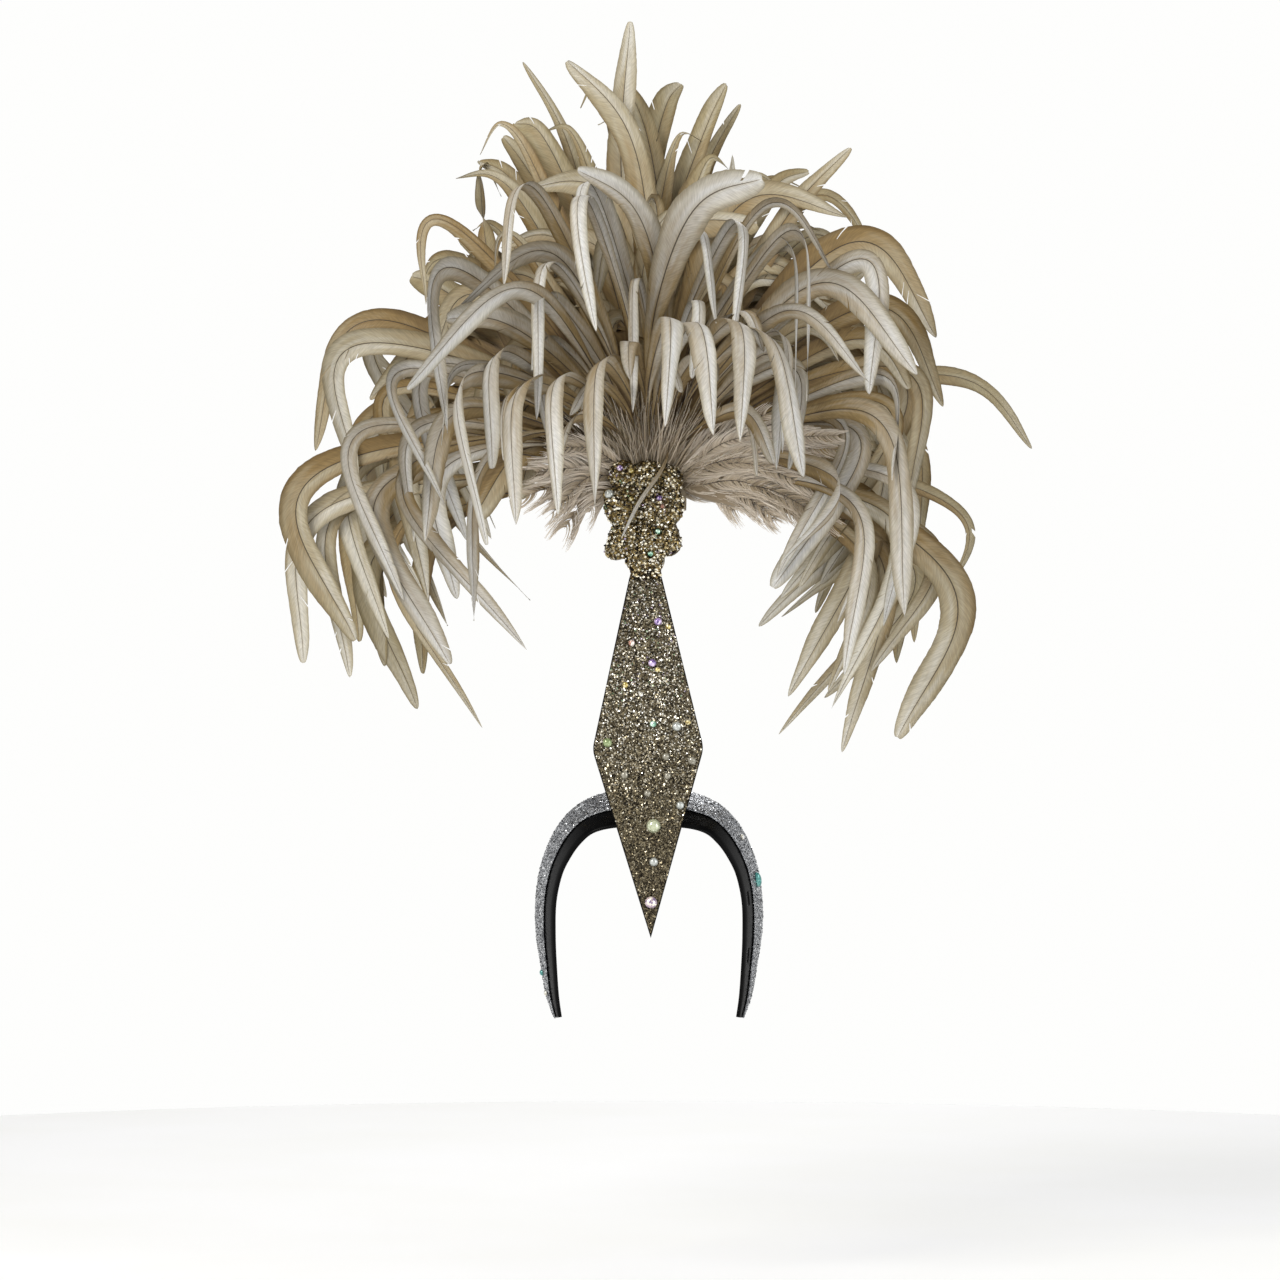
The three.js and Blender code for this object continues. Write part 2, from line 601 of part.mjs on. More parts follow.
function addStone(stone, prefix, x, y, z) {
  const geometry = stoneGeometry(stone.cut, stone.size);
  const mesh = addMesh(crest, `${prefix}_${stone.name}`, geometry, stoneLook(stone));
  mesh.rotation.x = Math.PI / 2;
  mesh.position.set(x, y, z);
}

CREST_STONES.forEach((stone) => {
  const x = stone.right * (kiteHalfWidth(stone.up) - stone.size / 4);
  const z = CREST_FOOT + stone.up * CREST_LENGTH;
  addStone(stone, 'crest_stone', x, facingFront - GLUE_GAP, z);
});

// Medallion: a lobed casting on a back plate, with a groove down its middle and a flat seat for each stone.
const MEDALLION_FOOT = CREST_FOOT + CREST_LENGTH + MEDALLION_NECK_GAP;

function medallionPlace(row) {
  return { x: row.right * MEDALLION_WIDTH / 2, z: MEDALLION_FOOT + row.up * MEDALLION_HEIGHT };
}

function lobe(row) {
  const { x, z } = medallionPlace(row);
  const geometry = new THREE.SphereGeometry(1, 8, 6);
  geometry.scale(row.wide * MEDALLION_WIDTH / 2, MEDALLION_RELIEF * row.out, row.tall * MEDALLION_HEIGHT / 2);
  return geometry.translate(x, -MEDALLION_BASE, z);
}

function disc(radius, back, front, sides) {
  const geometry = new THREE.CylinderGeometry(radius, radius, back - front, sides);
  return geometry.translate(0, (back + front) / 2, 0);
}

function lobeFoot(row) {
  const { x, z } = medallionPlace(row);
  const geometry = disc(1, 0, -MEDALLION_BASE, 8);
  geometry.scale(row.wide * MEDALLION_WIDTH / 2, 1, row.tall * MEDALLION_HEIGHT / 2);
  return geometry.translate(x, 0, z);
}

function seatDepth(stone) {
  return -MEDALLION_BASE - MEDALLION_RELIEF * (stone.cut === 'dome' ? LOW_SEAT : HIGH_SEAT);
}

function medallionGeometry() {
  const lobes = LOBES.flatMap((row) => [lobe(row), lobeFoot(row)]);
  const bosses = MEDALLION_STONES.map((stone) => {
    const { x, z } = medallionPlace(stone);
    return disc(stone.size / 2 + SEAT_RIM, 0, seatDepth(stone), 8).translate(x, 0, z);
  });
  const front = -MEDALLION_BASE - 2 * MEDALLION_RELIEF;
  const pockets = MEDALLION_STONES.map((stone) => {
    const { x, z } = medallionPlace(stone);
    return disc(stone.size / 2 + SEAT_RIM, seatDepth(stone), front, 8).translate(x, 0, z);
  });
  const behind = new THREE.BoxGeometry(2 * MEDALLION_WIDTH, 2 * MEDALLION_RELIEF, 2 * MEDALLION_HEIGHT);
  behind.translate(0, MEDALLION_RELIEF, MEDALLION_FOOT + MEDALLION_HEIGHT / 2);
  const groove = new THREE.CylinderGeometry(GROOVE_WIDTH / 2, GROOVE_WIDTH / 2, GROOVE_LENGTH, 6);
  groove.rotateX(Math.PI / 2).rotateY(-GROOVE_TILT);
  groove.translate(-GROOVE_WIDTH, -MEDALLION_BASE - MEDALLION_RELIEF, MEDALLION_FOOT + MEDALLION_HEIGHT / 2);
  return cut(join([...lobes, ...bosses]), [behind, groove, ...pockets]);
}

addMesh(crest, 'medallion', medallionGeometry(), CAST_BRONZE);
MEDALLION_STONES.forEach((stone) => {
  const { x, z } = medallionPlace(stone);
  addStone(stone, 'medallion_stone', x, seatDepth(stone) - GLUE_GAP, z);
});

// Support post: rises behind the plate and the medallion, with a foot that lies on the crown's cover.
function postGeometry() {
  const lean = Math.tan(CREST_LEAN);
  const front = (z) => crest.position.y + z * lean + GLUE_GAP / Math.cos(CREST_LEAN);
  const wall = POST_WALL / Math.cos(CREST_LEAN);
  const lift = (2 * GLUE_GAP + COVER_WALL + BAND_CROWNING) * Math.hypot(BAND_RISE, BAND_DEPTH) / BAND_DEPTH;
  const crownTop = (y) => (y - BAND_FRONT) / BAND_DEPTH * BAND_RISE + lift;
  const heel = BAND_FRONT + BAND_DEPTH * POST_HEEL_SHARE;
  const toe = BAND_FRONT + BAND_DEPTH * POST_TOE_SHARE;
  const corner = crownTop(heel) + POST_GUSSET;
  const top = (MEDALLION_FOOT + MEDALLION_HEIGHT * POST_TOP_SHARE) * Math.cos(CREST_LEAN);
  const shape = new THREE.Shape();
  shape.moveTo(front(crownTop(heel)), crownTop(heel));
  shape.lineTo(heel, crownTop(heel));
  shape.lineTo(toe, crownTop(toe));
  shape.lineTo(toe, crownTop(toe) + POST_FOOT_WALL);
  shape.lineTo(front(corner) + wall, corner);
  shape.lineTo(front(top) + wall, top);
  shape.lineTo(front(top), top);
  shape.closePath();
  const geometry = new THREE.ExtrudeGeometry(shape, { depth: POST_WIDTH, bevelEnabled: false });
  geometry.applyMatrix4(new THREE.Matrix4().makeBasis(vec(0, 1, 0), vec(0, 0, 1), vec(1, 0, 0)));
  return geometry.translate(-POST_WIDTH / 2, 0, 0);
}

addMesh(headdress, 'support_post', postGeometry(), BLACK_PLASTIC);

// Plume: the backings stand one behind the other, behind the post.
const HUB_UP = MEDALLION_FOOT + PLUME_HUB_HEIGHT;
function backingMiddle(order) {
  return POST_WALL + 2 * GLUE_GAP + order * (BACKING_WALL + GLUE_GAP) + BACKING_WALL / 2;
}

// From the leaning frame of the backings, which the crest shares, to that of the headdress.
function leaning(target) {
  const lean = new THREE.Matrix4().makeRotationX(-CREST_LEAN).setPosition(crest.position);
  return target.applyMatrix4(lean);
}

function backingBox(order) {
  const box = new THREE.BoxGeometry(BACKING_WIDTH, BACKING_WALL, BACKING_HEIGHT);
  return leaning(box.translate(0, backingMiddle(order), HUB_UP));
}

// The stem of a feather: out of its backing, over its peak, down to its tip.
function stemCurve(feather, order) {
  const hub = leaning(vec(0, backingMiddle(order), HUB_UP));
  const rootX = THREE.MathUtils.clamp(feather.peakX * ROOT_FANNING, -1, 1) * ROOT_SPREAD * BACKING_WIDTH / 2;
  const rootZ = (feather.peakZ < 0 ? 0 : ROOT_SPREAD) * BACKING_HEIGHT / 2;
  const root = leaning(vec(rootX, backingMiddle(order), HUB_UP + rootZ));
  const place = (x, z, depth) => vec(x * PLUME_REACH, root.y + depth * PLUME_REACH, hub.z + z * PLUME_REACH);
  const peak = place(feather.peakX, feather.peakZ, feather.depth * PEAK_DEPTH);
  const tip = place(feather.tipX, feather.tipZ, feather.depth);
  const middle = root.clone().lerp(peak, 0.5);
  const chord = peak.clone().sub(root);
  const side = feather.peakX < 0 ? 1 : -1;
  const upper = vec(side * Math.abs(chord.z), 0, Math.abs(chord.x)).normalize();
  middle.addScaledVector(upper, feather.bow * chord.length());
  middle.y = THREE.MathUtils.lerp(root.y, peak.y, RISE_FIRST);
  return new THREE.CatmullRomCurve3([root, middle, peak, tip], false, 'centripetal');
}

// How wide the vane is at a share of its length: bare quill, vane, round tip.
function vaneShare(share) {
  const opening = THREE.MathUtils.smoothstep(share, 0.08, 0.5);
  const closing = Math.sqrt(Math.max(0, 1 - (Math.max(0, share - 0.84) / 0.165) ** 2));
  return Math.max(QUILL_SHARE, opening) * closing;
}

const LONG_STEPS = [0, 0.26, 0.52, 0.74, 0.92, 1];
const SHORT_STEPS = [0, 0.32, 0.64, 0.88, 1];

// A thin blade along a stem: two edges and a low ridge on each face.
function blade(curve, steps, width, thickness) {
  let across = vec(1, 0, 0);
  const rings = steps.map((share, index) => {
    const centre = curve.getPoint(share);
    const run = curve.getTangent(share);
    if (index === 0) {
      across = vec(run.z, 0, -run.x);
    }
    across.addScaledVector(run, -across.dot(run)).normalize();
    const face = run.clone().cross(across);
    const half = width / 2 * vaneShare(share);
    const ridge = thickness / 2 * (1 - BLADE_TAPER * share);
    return [
      centre.clone().addScaledVector(across, half),
      centre.clone().addScaledVector(face, ridge),
      centre.clone().addScaledVector(across, -half),
      centre.clone().addScaledVector(face, -ridge),
    ];
  });
  return loft(rings);
}

function outlineReach(angle) {
  const after = Math.max(1, OUTLINE.findIndex((row) => row.angle >= angle));
  const [low, high] = [OUTLINE[after - 1], OUTLINE[after]];
  return THREE.MathUtils.mapLinear(angle, low.angle, high.angle, low.reach, high.reach);
}

// A feather that fills its row: it leaves at an angle, and its tip hangs towards its own side.
function fillFeather(row, index) {
  const draw = (turn) => scatter(row.order * 100 + index, turn);
  const angle = FAN_START + FAN_SWEEP * (index + draw(0)) / row.fill;
  const side = angle < 90 ? -1 : 1;
  const sideways = Math.abs(Math.cos(THREE.MathUtils.degToRad(angle)));
  const hang = side * (LEAST_HANG + (MOST_HANG - LEAST_HANG) * sideways * draw(1));
  const depth = THREE.MathUtils.lerp(row.shallow, row.deep, draw(2));
  const shorter = (1 - FORESHORTENING * Math.abs(depth)) * THREE.MathUtils.lerp(SHORTEST, LONGEST, draw(3));
  const place = (degrees, share) => {
    const turn = THREE.MathUtils.degToRad(degrees);
    return [share * Math.cos(turn), share * Math.sin(turn)];
  };
  const [peakX, peakZ] = place(angle, outlineReach(angle) * shorter * PEAK_SHARE);
  const [tipX, tipZ] = place(angle + hang, outlineReach(angle + hang) * shorter);
  const width = THREE.MathUtils.lerp(NARROWEST, WIDEST, draw(4));
  return { peakX, peakZ, tipX, tipZ, bow: FILL_BOW, depth, width };
}

// A drooping feather at the left or the right end of its row.
function droopFeather(row, droop, index, side) {
  const turn = THREE.MathUtils.degToRad(droop.angle);
  const width = THREE.MathUtils.lerp(NARROWEST, WIDEST, scatter(row.order * 100 + index, side));
  const share = droop.reach * outlineReach(side > 0 ? droop.angle : 180 - droop.angle);
  const [peakX, peakZ] = [side * Math.cos(turn) * share, Math.sin(turn) * share];
  const [tipX, tipZ] = [peakX * DROOP_OUT, peakZ - droop.hang];
  return { peakX, peakZ, tipX, tipZ, bow: 2 * FILL_BOW, depth: droop.depth, width };
}

// A lock of down from the end of the front row's backing, flat, soft and pointed.
function downLock(lock) {
  const angle = THREE.MathUtils.degToRad(lock.angle);
  const reach = lock.reach * DOWN_REACH;
  const end = Math.sign(Math.cos(angle)) * ROOT_SPREAD * BACKING_WIDTH / 2;
  const root = leaning(vec(end, backingMiddle(0), HUB_UP));
  const tip = root.clone().add(vec(Math.cos(angle) * reach, -DOWN_FORWARD * reach, Math.sin(angle) * reach));
  const middle = root.clone().lerp(tip, 0.55).add(vec(0, 0, 0.1 * reach));
  const curve = new THREE.CatmullRomCurve3([root, middle, tip]);
  const shares = [[0.02, 0.45], [0.4, 1], [0.76, 0.8], [1, 0.14]];
  const rings = shares.map(([share, full]) => {
    const centre = curve.getPoint(share);
    const run = curve.getTangent(share);
    const across = vec(run.z, 0, -run.x).normalize();
    const face = run.clone().cross(across).normalize();
    return [0, 1, 2, 3, 4, 5].map((corner) => {
      const turn = corner * Math.PI / 3;
      const point = centre.clone().addScaledVector(across, Math.cos(turn) * DOWN_WIDTH / 2 * full);
      return point.addScaledVector(face, Math.sin(turn) * DOWN_THICKNESS / 2 * full);
    });
  });
  return loft(rings);
}

// The room that the front row leaves for the medallion and the post.
function medallionRoom() {
  const depth = 4 * MEDALLION_RELIEF;
  const back = POST_WALL + 2 * GLUE_GAP;
  const width = MEDALLION_WIDTH + 2 * MEDALLION_RELIEF;
  const height = MEDALLION_HEIGHT + 2 * GLUE_GAP;
  const room = new THREE.BoxGeometry(width, depth, height);
  return leaning(room.translate(0, back - depth / 2, MEDALLION_FOOT + height / 2));
}

function plumeGeometry(row) {
  const shown = FEATHERS.filter((feather) => feather.row === row.name);
  const filling = Array.from({ length: row.fill }, (_, index) => fillFeather(row, index));
  const drooping = DROOPS.filter((droop) => droop.row === row.name).flatMap((droop, index) => {
    return [-1, 1].map((side) => droopFeather(row, droop, index, side));
  });
  const makeBlade = (steps) => (feather) => {
    return blade(stemCurve(feather, row.order), steps, BLADE_WIDTH * feather.width, BLADE_THICKNESS);
  };
  const between = [...filling, ...drooping];
  const blades = [...shown.map(makeBlade(LONG_STEPS)), ...between.map(makeBlade(SHORT_STEPS))];
  const pieces = [backingBox(row.order), ...blades];
  if (row.name !== 'front') {
    return join(pieces);
  }
  return cut(join([...pieces, ...DOWN.map(downLock)]), [medallionRoom()]);
}

const FEATHER_LOOKS = { front: '#c9c2b2', middle: '#b3a68f', back: '#a39781' };
ROWS.forEach((row) => {
  addMesh(headdress, `plume_${row.name}`, plumeGeometry(row), material(FEATHER_LOOKS[row.name], 0.8));
});

export default headdress;
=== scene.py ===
import math

import bmesh
import bpy
import numpy as np
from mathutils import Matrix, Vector


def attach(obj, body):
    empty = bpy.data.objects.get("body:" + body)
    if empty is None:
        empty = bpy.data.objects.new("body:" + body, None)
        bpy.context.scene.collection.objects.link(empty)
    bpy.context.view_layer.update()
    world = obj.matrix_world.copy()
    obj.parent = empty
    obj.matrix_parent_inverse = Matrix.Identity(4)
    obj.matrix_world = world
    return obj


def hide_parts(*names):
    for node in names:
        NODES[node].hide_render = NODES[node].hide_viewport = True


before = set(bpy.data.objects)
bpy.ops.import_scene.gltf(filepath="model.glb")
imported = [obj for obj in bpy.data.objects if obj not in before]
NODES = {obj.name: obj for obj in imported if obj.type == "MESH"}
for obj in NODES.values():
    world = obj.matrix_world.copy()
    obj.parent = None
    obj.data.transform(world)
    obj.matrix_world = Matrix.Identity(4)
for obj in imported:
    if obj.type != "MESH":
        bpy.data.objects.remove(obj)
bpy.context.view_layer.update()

# Sizes in metres, as in the solids
MM = 0.001
GLUE_GAP = 0.3 * MM

# Headband
BAND_SPAN = 142 * MM
BAND_DROP = 146 * MM
BAND_RISE = 24 * MM
BAND_FLARE = 13.5 * MM
BAND_DEPTH = 42 * MM
BAND_FRONT = -60 * MM
BAND_LEAN = 0.42
BAND_CROWNING = 1.6 * MM
SHELL_WALL = 2.2 * MM
COVER_WALL = 0.9 * MM
COVER_START = 0.4
COVER_MARGIN = 0.03
SLOT_WIDTH = 2.4 * MM
ARCH_STEPS = 72
EDGE_ROUNDING = 0.6 * MM
HOLLOW_MIDDLE = np.array([0, -25, -60]) * MM  # of the space that the band spans

# Crest and medallion
CREST_LENGTH = 270 * MM
CREST_WIDTH = 82 * MM
CREST_NECK_WIDTH = 24 * MM
CREST_BELOW = 82 * MM
CREST_SHOULDER = 0.52
CREST_WALL = 3 * MM
FACING_WALL = 1 * MM
CREST_LEAN = math.radians(12)
CREST_ROLL = math.radians(-0.8)
CREST_STANDOFF = 1.1 * MM
MEDALLION_WIDTH = 58 * MM
MEDALLION_HEIGHT = 86 * MM
MEDALLION_BASE = 3 * MM
MEDALLION_RELIEF = 7 * MM
MEDALLION_NECK_GAP = 3 * MM
GROOVE_WIDTH = 3 * MM
GROOVE_LENGTH = 52 * MM
GROOVE_TILT = math.radians(8)
SEAT_RIM = 0.9 * MM
LOW_SEAT = 0.15
HIGH_SEAT = 0.5
FACET_HEIGHT = 0.42
DOME_HEIGHT = 0.46
OVAL_HEIGHT = 0.3
OVAL_WIDTH = 0.5
POST_WALL = 4 * MM

# Plume
PLUME_REACH = 350 * MM
PLUME_HUB_HEIGHT = 71.5 * MM
BACKING_WIDTH = 56 * MM
BACKING_HEIGHT = 34 * MM
BACKING_WALL = 8 * MM
ROOT_SPREAD = 0.8
ROOT_FANNING = 1.6
BLADE_WIDTH = 22 * MM
RISE_FIRST = 0.2
PEAK_DEPTH = 0.72
DOWN_REACH = 118 * MM
DOWN_FORWARD = 0.22
DOWN_WIDTH = 24 * MM
DOWN_THICKNESS = 13 * MM

# The form of one feather
FINE_STEPS = 160
EASE_SPAN = 16  # how many steps on either side soften the bend
FULLEST = {"front": (0.52, 0.7), "middle": (0.42, 0.62), "back": (0.42, 0.62)}  # where a vane is widest
FACE_OUT = (0.18, 0.6)  # how far a hanging blade is rolled to face the front
TWIST = 18  # degrees from root to tip, for one standard deviation
VANE_SWEEP = 1.3  # how far a barb leans towards the tip, for each unit that it goes out
TIGHTEST_BEND = 0.8  # of a vane's inner side, as a share of the bend's radius
TAPER = (0.2, 1.15)  # from a round tip to a pointed one
UPRIGHT_TAPER = 0.25  # of a feather that stands up
HOOK_TAPER = 1.7  # of a stem that bends beyond this share of its length:
LATE_PEAK = 0.84
CUP = (0.06, 0.24)  # how far a vane's edge curls away, as a share of its width
RIPPLE = 0.045  # how far that edge waves, as a share of the feather's width
UNEVEN = 0.26  # how much wider or narrower than usual one vane can be
# Painted light and shade: one vane of each feather is painted paler and the other darker, as if one faced the
# light.
PAINTED_VANE_LIGHT = (0.05, 0.32)  # how much paler one vane is than the quill's own shade
MOST_SPLITS = 3
SPLIT_WIDTH = (0.5 * MM, 1.6 * MM)
BARB_UNIT = 1 * MM  # from one drawn barb to the next
QUILL_RADIUS = 0.85 * MM  # at the root of the widest feather
QUILL_THINNING = 0.62 * MM  # of that radius, over the lower half
QUILL_SIDES = 4
QUILL_LOOK = 1  # places in a row's list of materials
FELT_LOOK = 2

# How finely feathers are made, the ones that show singly and the ones between them: the length of vane to
# a row of points, the points across a vane, and how far a hanging tip curls in.
SHOWN = {"pitch": 2.6 * MM, "columns": 5, "curl": (0, 0.04)}
BETWEEN = {"pitch": 3.4 * MM, "columns": 4, "curl": (-0.04, 0.14)}

# Down and hackles beside the medallion
HACKLE_BARBS = 290  # for a hackle as long as the longest lock
HACKLES_PER_LOCK = 7
HACKLE_WIDTH = (15 * MM, 24 * MM)
HACKLE_FRIZZ = 0.022
CORE_LENGTH = 0.72  # of a lock's core, as a share of the lock
CORE_SIDES = 12
TUFTS = 1300
TUFT_REACH = (18 * MM, 62 * MM)
TUFT_FAN = 130  # degrees from one side of the backing to the other
TUFT_FRIZZ = 0.05

# Feathers that fill the rows, as in the solids
FAN_START = 14
FAN_SWEEP = 152
LEAST_HANG = 8
MOST_HANG = 54
PEAK_SHARE = 0.86
SHORTEST = 0.72
LONGEST = 0.96
FORESHORTENING = 0.35
NARROWEST = 0.75
WIDEST = 1.1
FILL_BOW = 0.09
DROOP_OUT = 1.04

# Places along one limb of the band, from the crown to the tip: shares of half the span, the drop, the
# flare, the rise and the depth.
ARCH_COLUMNS = ["across", "drop", "out", "up", "depth"]
ARCH = np.array([
    [0, 0, 0, 1, 1],
    [0.34, 0.003, 0.52, 0.96, 1],
    [0.58, 0.03, 0.82, 0.75, 1],
    [0.73, 0.09, 1.04, 0.54, 1],
    [0.845, 0.17, 1.1, 0.33, 1],
    [0.93, 0.26, 1.1, 0.1, 0.98],
    [0.99, 0.4, 1.02, 0, 0.96],
    [1, 0.575, 0.96, 0.06, 0.92],
    [0.99, 0.74, 0.74, 0, 0.84],
    [0.972, 0.89, 0.52, -0.06, 0.68],
    [0.945, 1, 0.16, -0.04, 0.4],
])

# Stitching slots: limb, share of the way to the tip, share across the wall, length in slot widths.
SLOTS = [
    (-1, 0.2, 0.8, 4.2),
    (-1, 0.42, 0.7, 3.4),
    (-1, 0.62, 0.78, 4.6),
    (-1, 0.78, 0.6, 3),
    (1, 0.2, 0.8, 4.2),
    (1, 0.28, 0.7, 3.4),
    (1, 0.46, 0.8, 4),
    (1, 0.585, 0.2, 4.2),
    (1, 0.76, 0.2, 5),
]

# Stones: name, cut, right as a share of half the width, up as a share of the length, size, glass.
CREST_STONES = [
    ("point_rose", "facet", 0.1, 0.095, 9, "iridescent"),
    ("point_drop", "dome", 0.2, 0.206, 6.5, "frost"),
    ("middle_pearl", "dome", 0.15, 0.305, 10.5, "pearl"),
    ("low_clear", "dome", 0.85, 0.361, 6, "frost"),
    ("low_grey", "dome", -0.03, 0.395, 5.5, "smoke"),
    ("left_grey", "dome", -0.52, 0.447, 6, "smoke"),
    ("mid_grey", "dome", 0.42, 0.443, 5.5, "smoke"),
    ("right_grey", "dome", 0.88, 0.484, 6.5, "smoke"),
    ("upper_grey", "dome", 0.35, 0.496, 6, "smoke"),
    ("shoulder_green", "dome", -0.78, 0.537, 7, "moss"),
    ("shoulder_frost", "dome", 0.6, 0.579, 7, "frost"),
    ("shoulder_small", "facet", 0.83, 0.59, 4, "topaz"),
    ("green", "facet", 0.11, 0.587, 5, "peridot"),
    ("small_white", "facet", -0.15, 0.67, 3.6, "clear"),
    ("left_yellow", "facet", -0.55, 0.697, 4.6, "topaz"),
    ("pale_yellow", "facet", 0.3, 0.738, 4, "topaz"),
    ("blue_violet", "facet", 0.16, 0.757, 6, "amethyst"),
    ("pink_white", "facet", -0.5, 0.814, 5, "rose"),
    ("upper_yellow", "facet", 0.84, 0.858, 4.4, "topaz"),
    ("violet", "facet", 0.48, 0.873, 6, "amethyst"),
]
MEDALLION_STONES = [
    ("foot_green", "facet", 0.13, 0.158, 4.4, "peridot"),
    ("low_green", "facet", 0.33, 0.355, 4.6, "peridot"),
    ("peach", "facet", 0.46, 0.575, 4, "rose"),
    ("magenta", "facet", 0.38, 0.65, 4.6, "amethyst"),
    ("mid_yellow", "facet", -0.34, 0.646, 4.2, "topaz"),
    ("white_yellow", "facet", 0.26, 0.815, 5, "clear"),
    ("top_yellow", "facet", -0.34, 0.9, 4.4, "topaz"),
    ("lilac", "facet", -0.62, 0.925, 4.8, "amethyst"),
    ("side_clear", "dome", -0.9, 0.7, 7.4, "frost"),
]
# Gems of the band: name, limb, along, across, size, cut, glass.
BAND_GEMS = [
    ("teal_oval", 1, 0.53, 0.68, 12, "oval", "teal"),
    ("teal_small", -1, 0.82, 0.78, 4.6, "dome", "teal"),
    ("white_small", -1, 0.885, 0.62, 4.4, "facet", "clear"),
    ("light_upper", 1, 0.35, 0.7, 4.4, "facet", "clear"),
]
# The glass of each stone: the record's slot and the colours that show in it, dark, main and bright. The
# main colour is the glass's own, and the dark and bright are painted reflections.
GLASS = {
    "iridescent": ("stone_iridescent", "#8d7b9c", "#d9c3c8", "#fff6e6"),
    "clear": ("stone_clear", "#8d8a80", "#dcd8c8", "#ffffff"),
    "topaz": ("stone_topaz", "#8a7430", "#d6bf66", "#fff6cc"),
    "peridot": ("stone_peridot", "#2c6e54", "#84c4a2", "#e6ffee"),
    "amethyst": ("stone_amethyst", "#5f4688", "#b192cf", "#f8e8ff"),
    "rose": ("stone_rose", "#a5705c", "#e6c2b2", "#fff2ea"),
    "frost": ("dome_clear", "#7d7f79", "#b9bdb8", "#eef0ec"),
    "smoke": ("dome_grey", "#5d5a4e", "#8f8a7a", "#d8d3c4"),
    "moss": ("dome_green", "#4d5a38", "#8ea06a", "#d8e2bc"),
    "pearl": ("dome_pearl", "#8b8c6c", "#c9cfae", "#f2f4e0"),
    "teal": ("dome_teal", "#0f4a4a", "#2f8a84", "#a8e6dc"),
}

# Loose glitter flakes of each layer: how many, their radii in millimetres, their tilt in degrees for one
# standard deviation, how high they lie on the glue, and the seed of their random draws.
FLAKES = {
    "band": (11000, (0.28, 0.55), 24, 0.12 * MM, 11),
    "crest": (15000, (0.35, 0.75), 22, 0.15 * MM, 23),
    "medallion": (3000, (0.45, 0.95), 30, 0.2 * MM, 31),
}

# Beads of the medallion, on the casting and at its neck. A shine below 1 gives more of them bright shades,
# and one above 1 fewer. The neck's beads are given fewer bright shades as painted shade, to hold back the
# light that falls bright on them.
CASTING_BEADS = 430
NECK_BEADS = 170
BEAD_RADII = (0.75 * MM, 1.55 * MM)
BEAD_SHINE = 0.6
NECK_PAINTED_SHADE = 1.7

# Lobes of the medallion: shares of half the width, the height, the width, the height and the relief.
LOBES = [
    (0, 0.12, 0.5, 0.3, 0.75),
    (0.24, 0.33, 0.64, 0.4, 0.9),
    (-0.34, 0.31, 0.6, 0.38, 0.85),
    (0.6, 0.27, 0.34, 0.24, 0.7),
    (-0.74, 0.22, 0.3, 0.2, 0.65),
    (0.42, 0.6, 0.6, 0.42, 1),
    (-0.42, 0.6, 0.62, 0.42, 0.95),
    (0.12, 0.84, 0.46, 0.32, 0.85),
    (-0.5, 0.87, 0.42, 0.26, 0.8),
    (0.6, 0.82, 0.4, 0.28, 0.7),
]

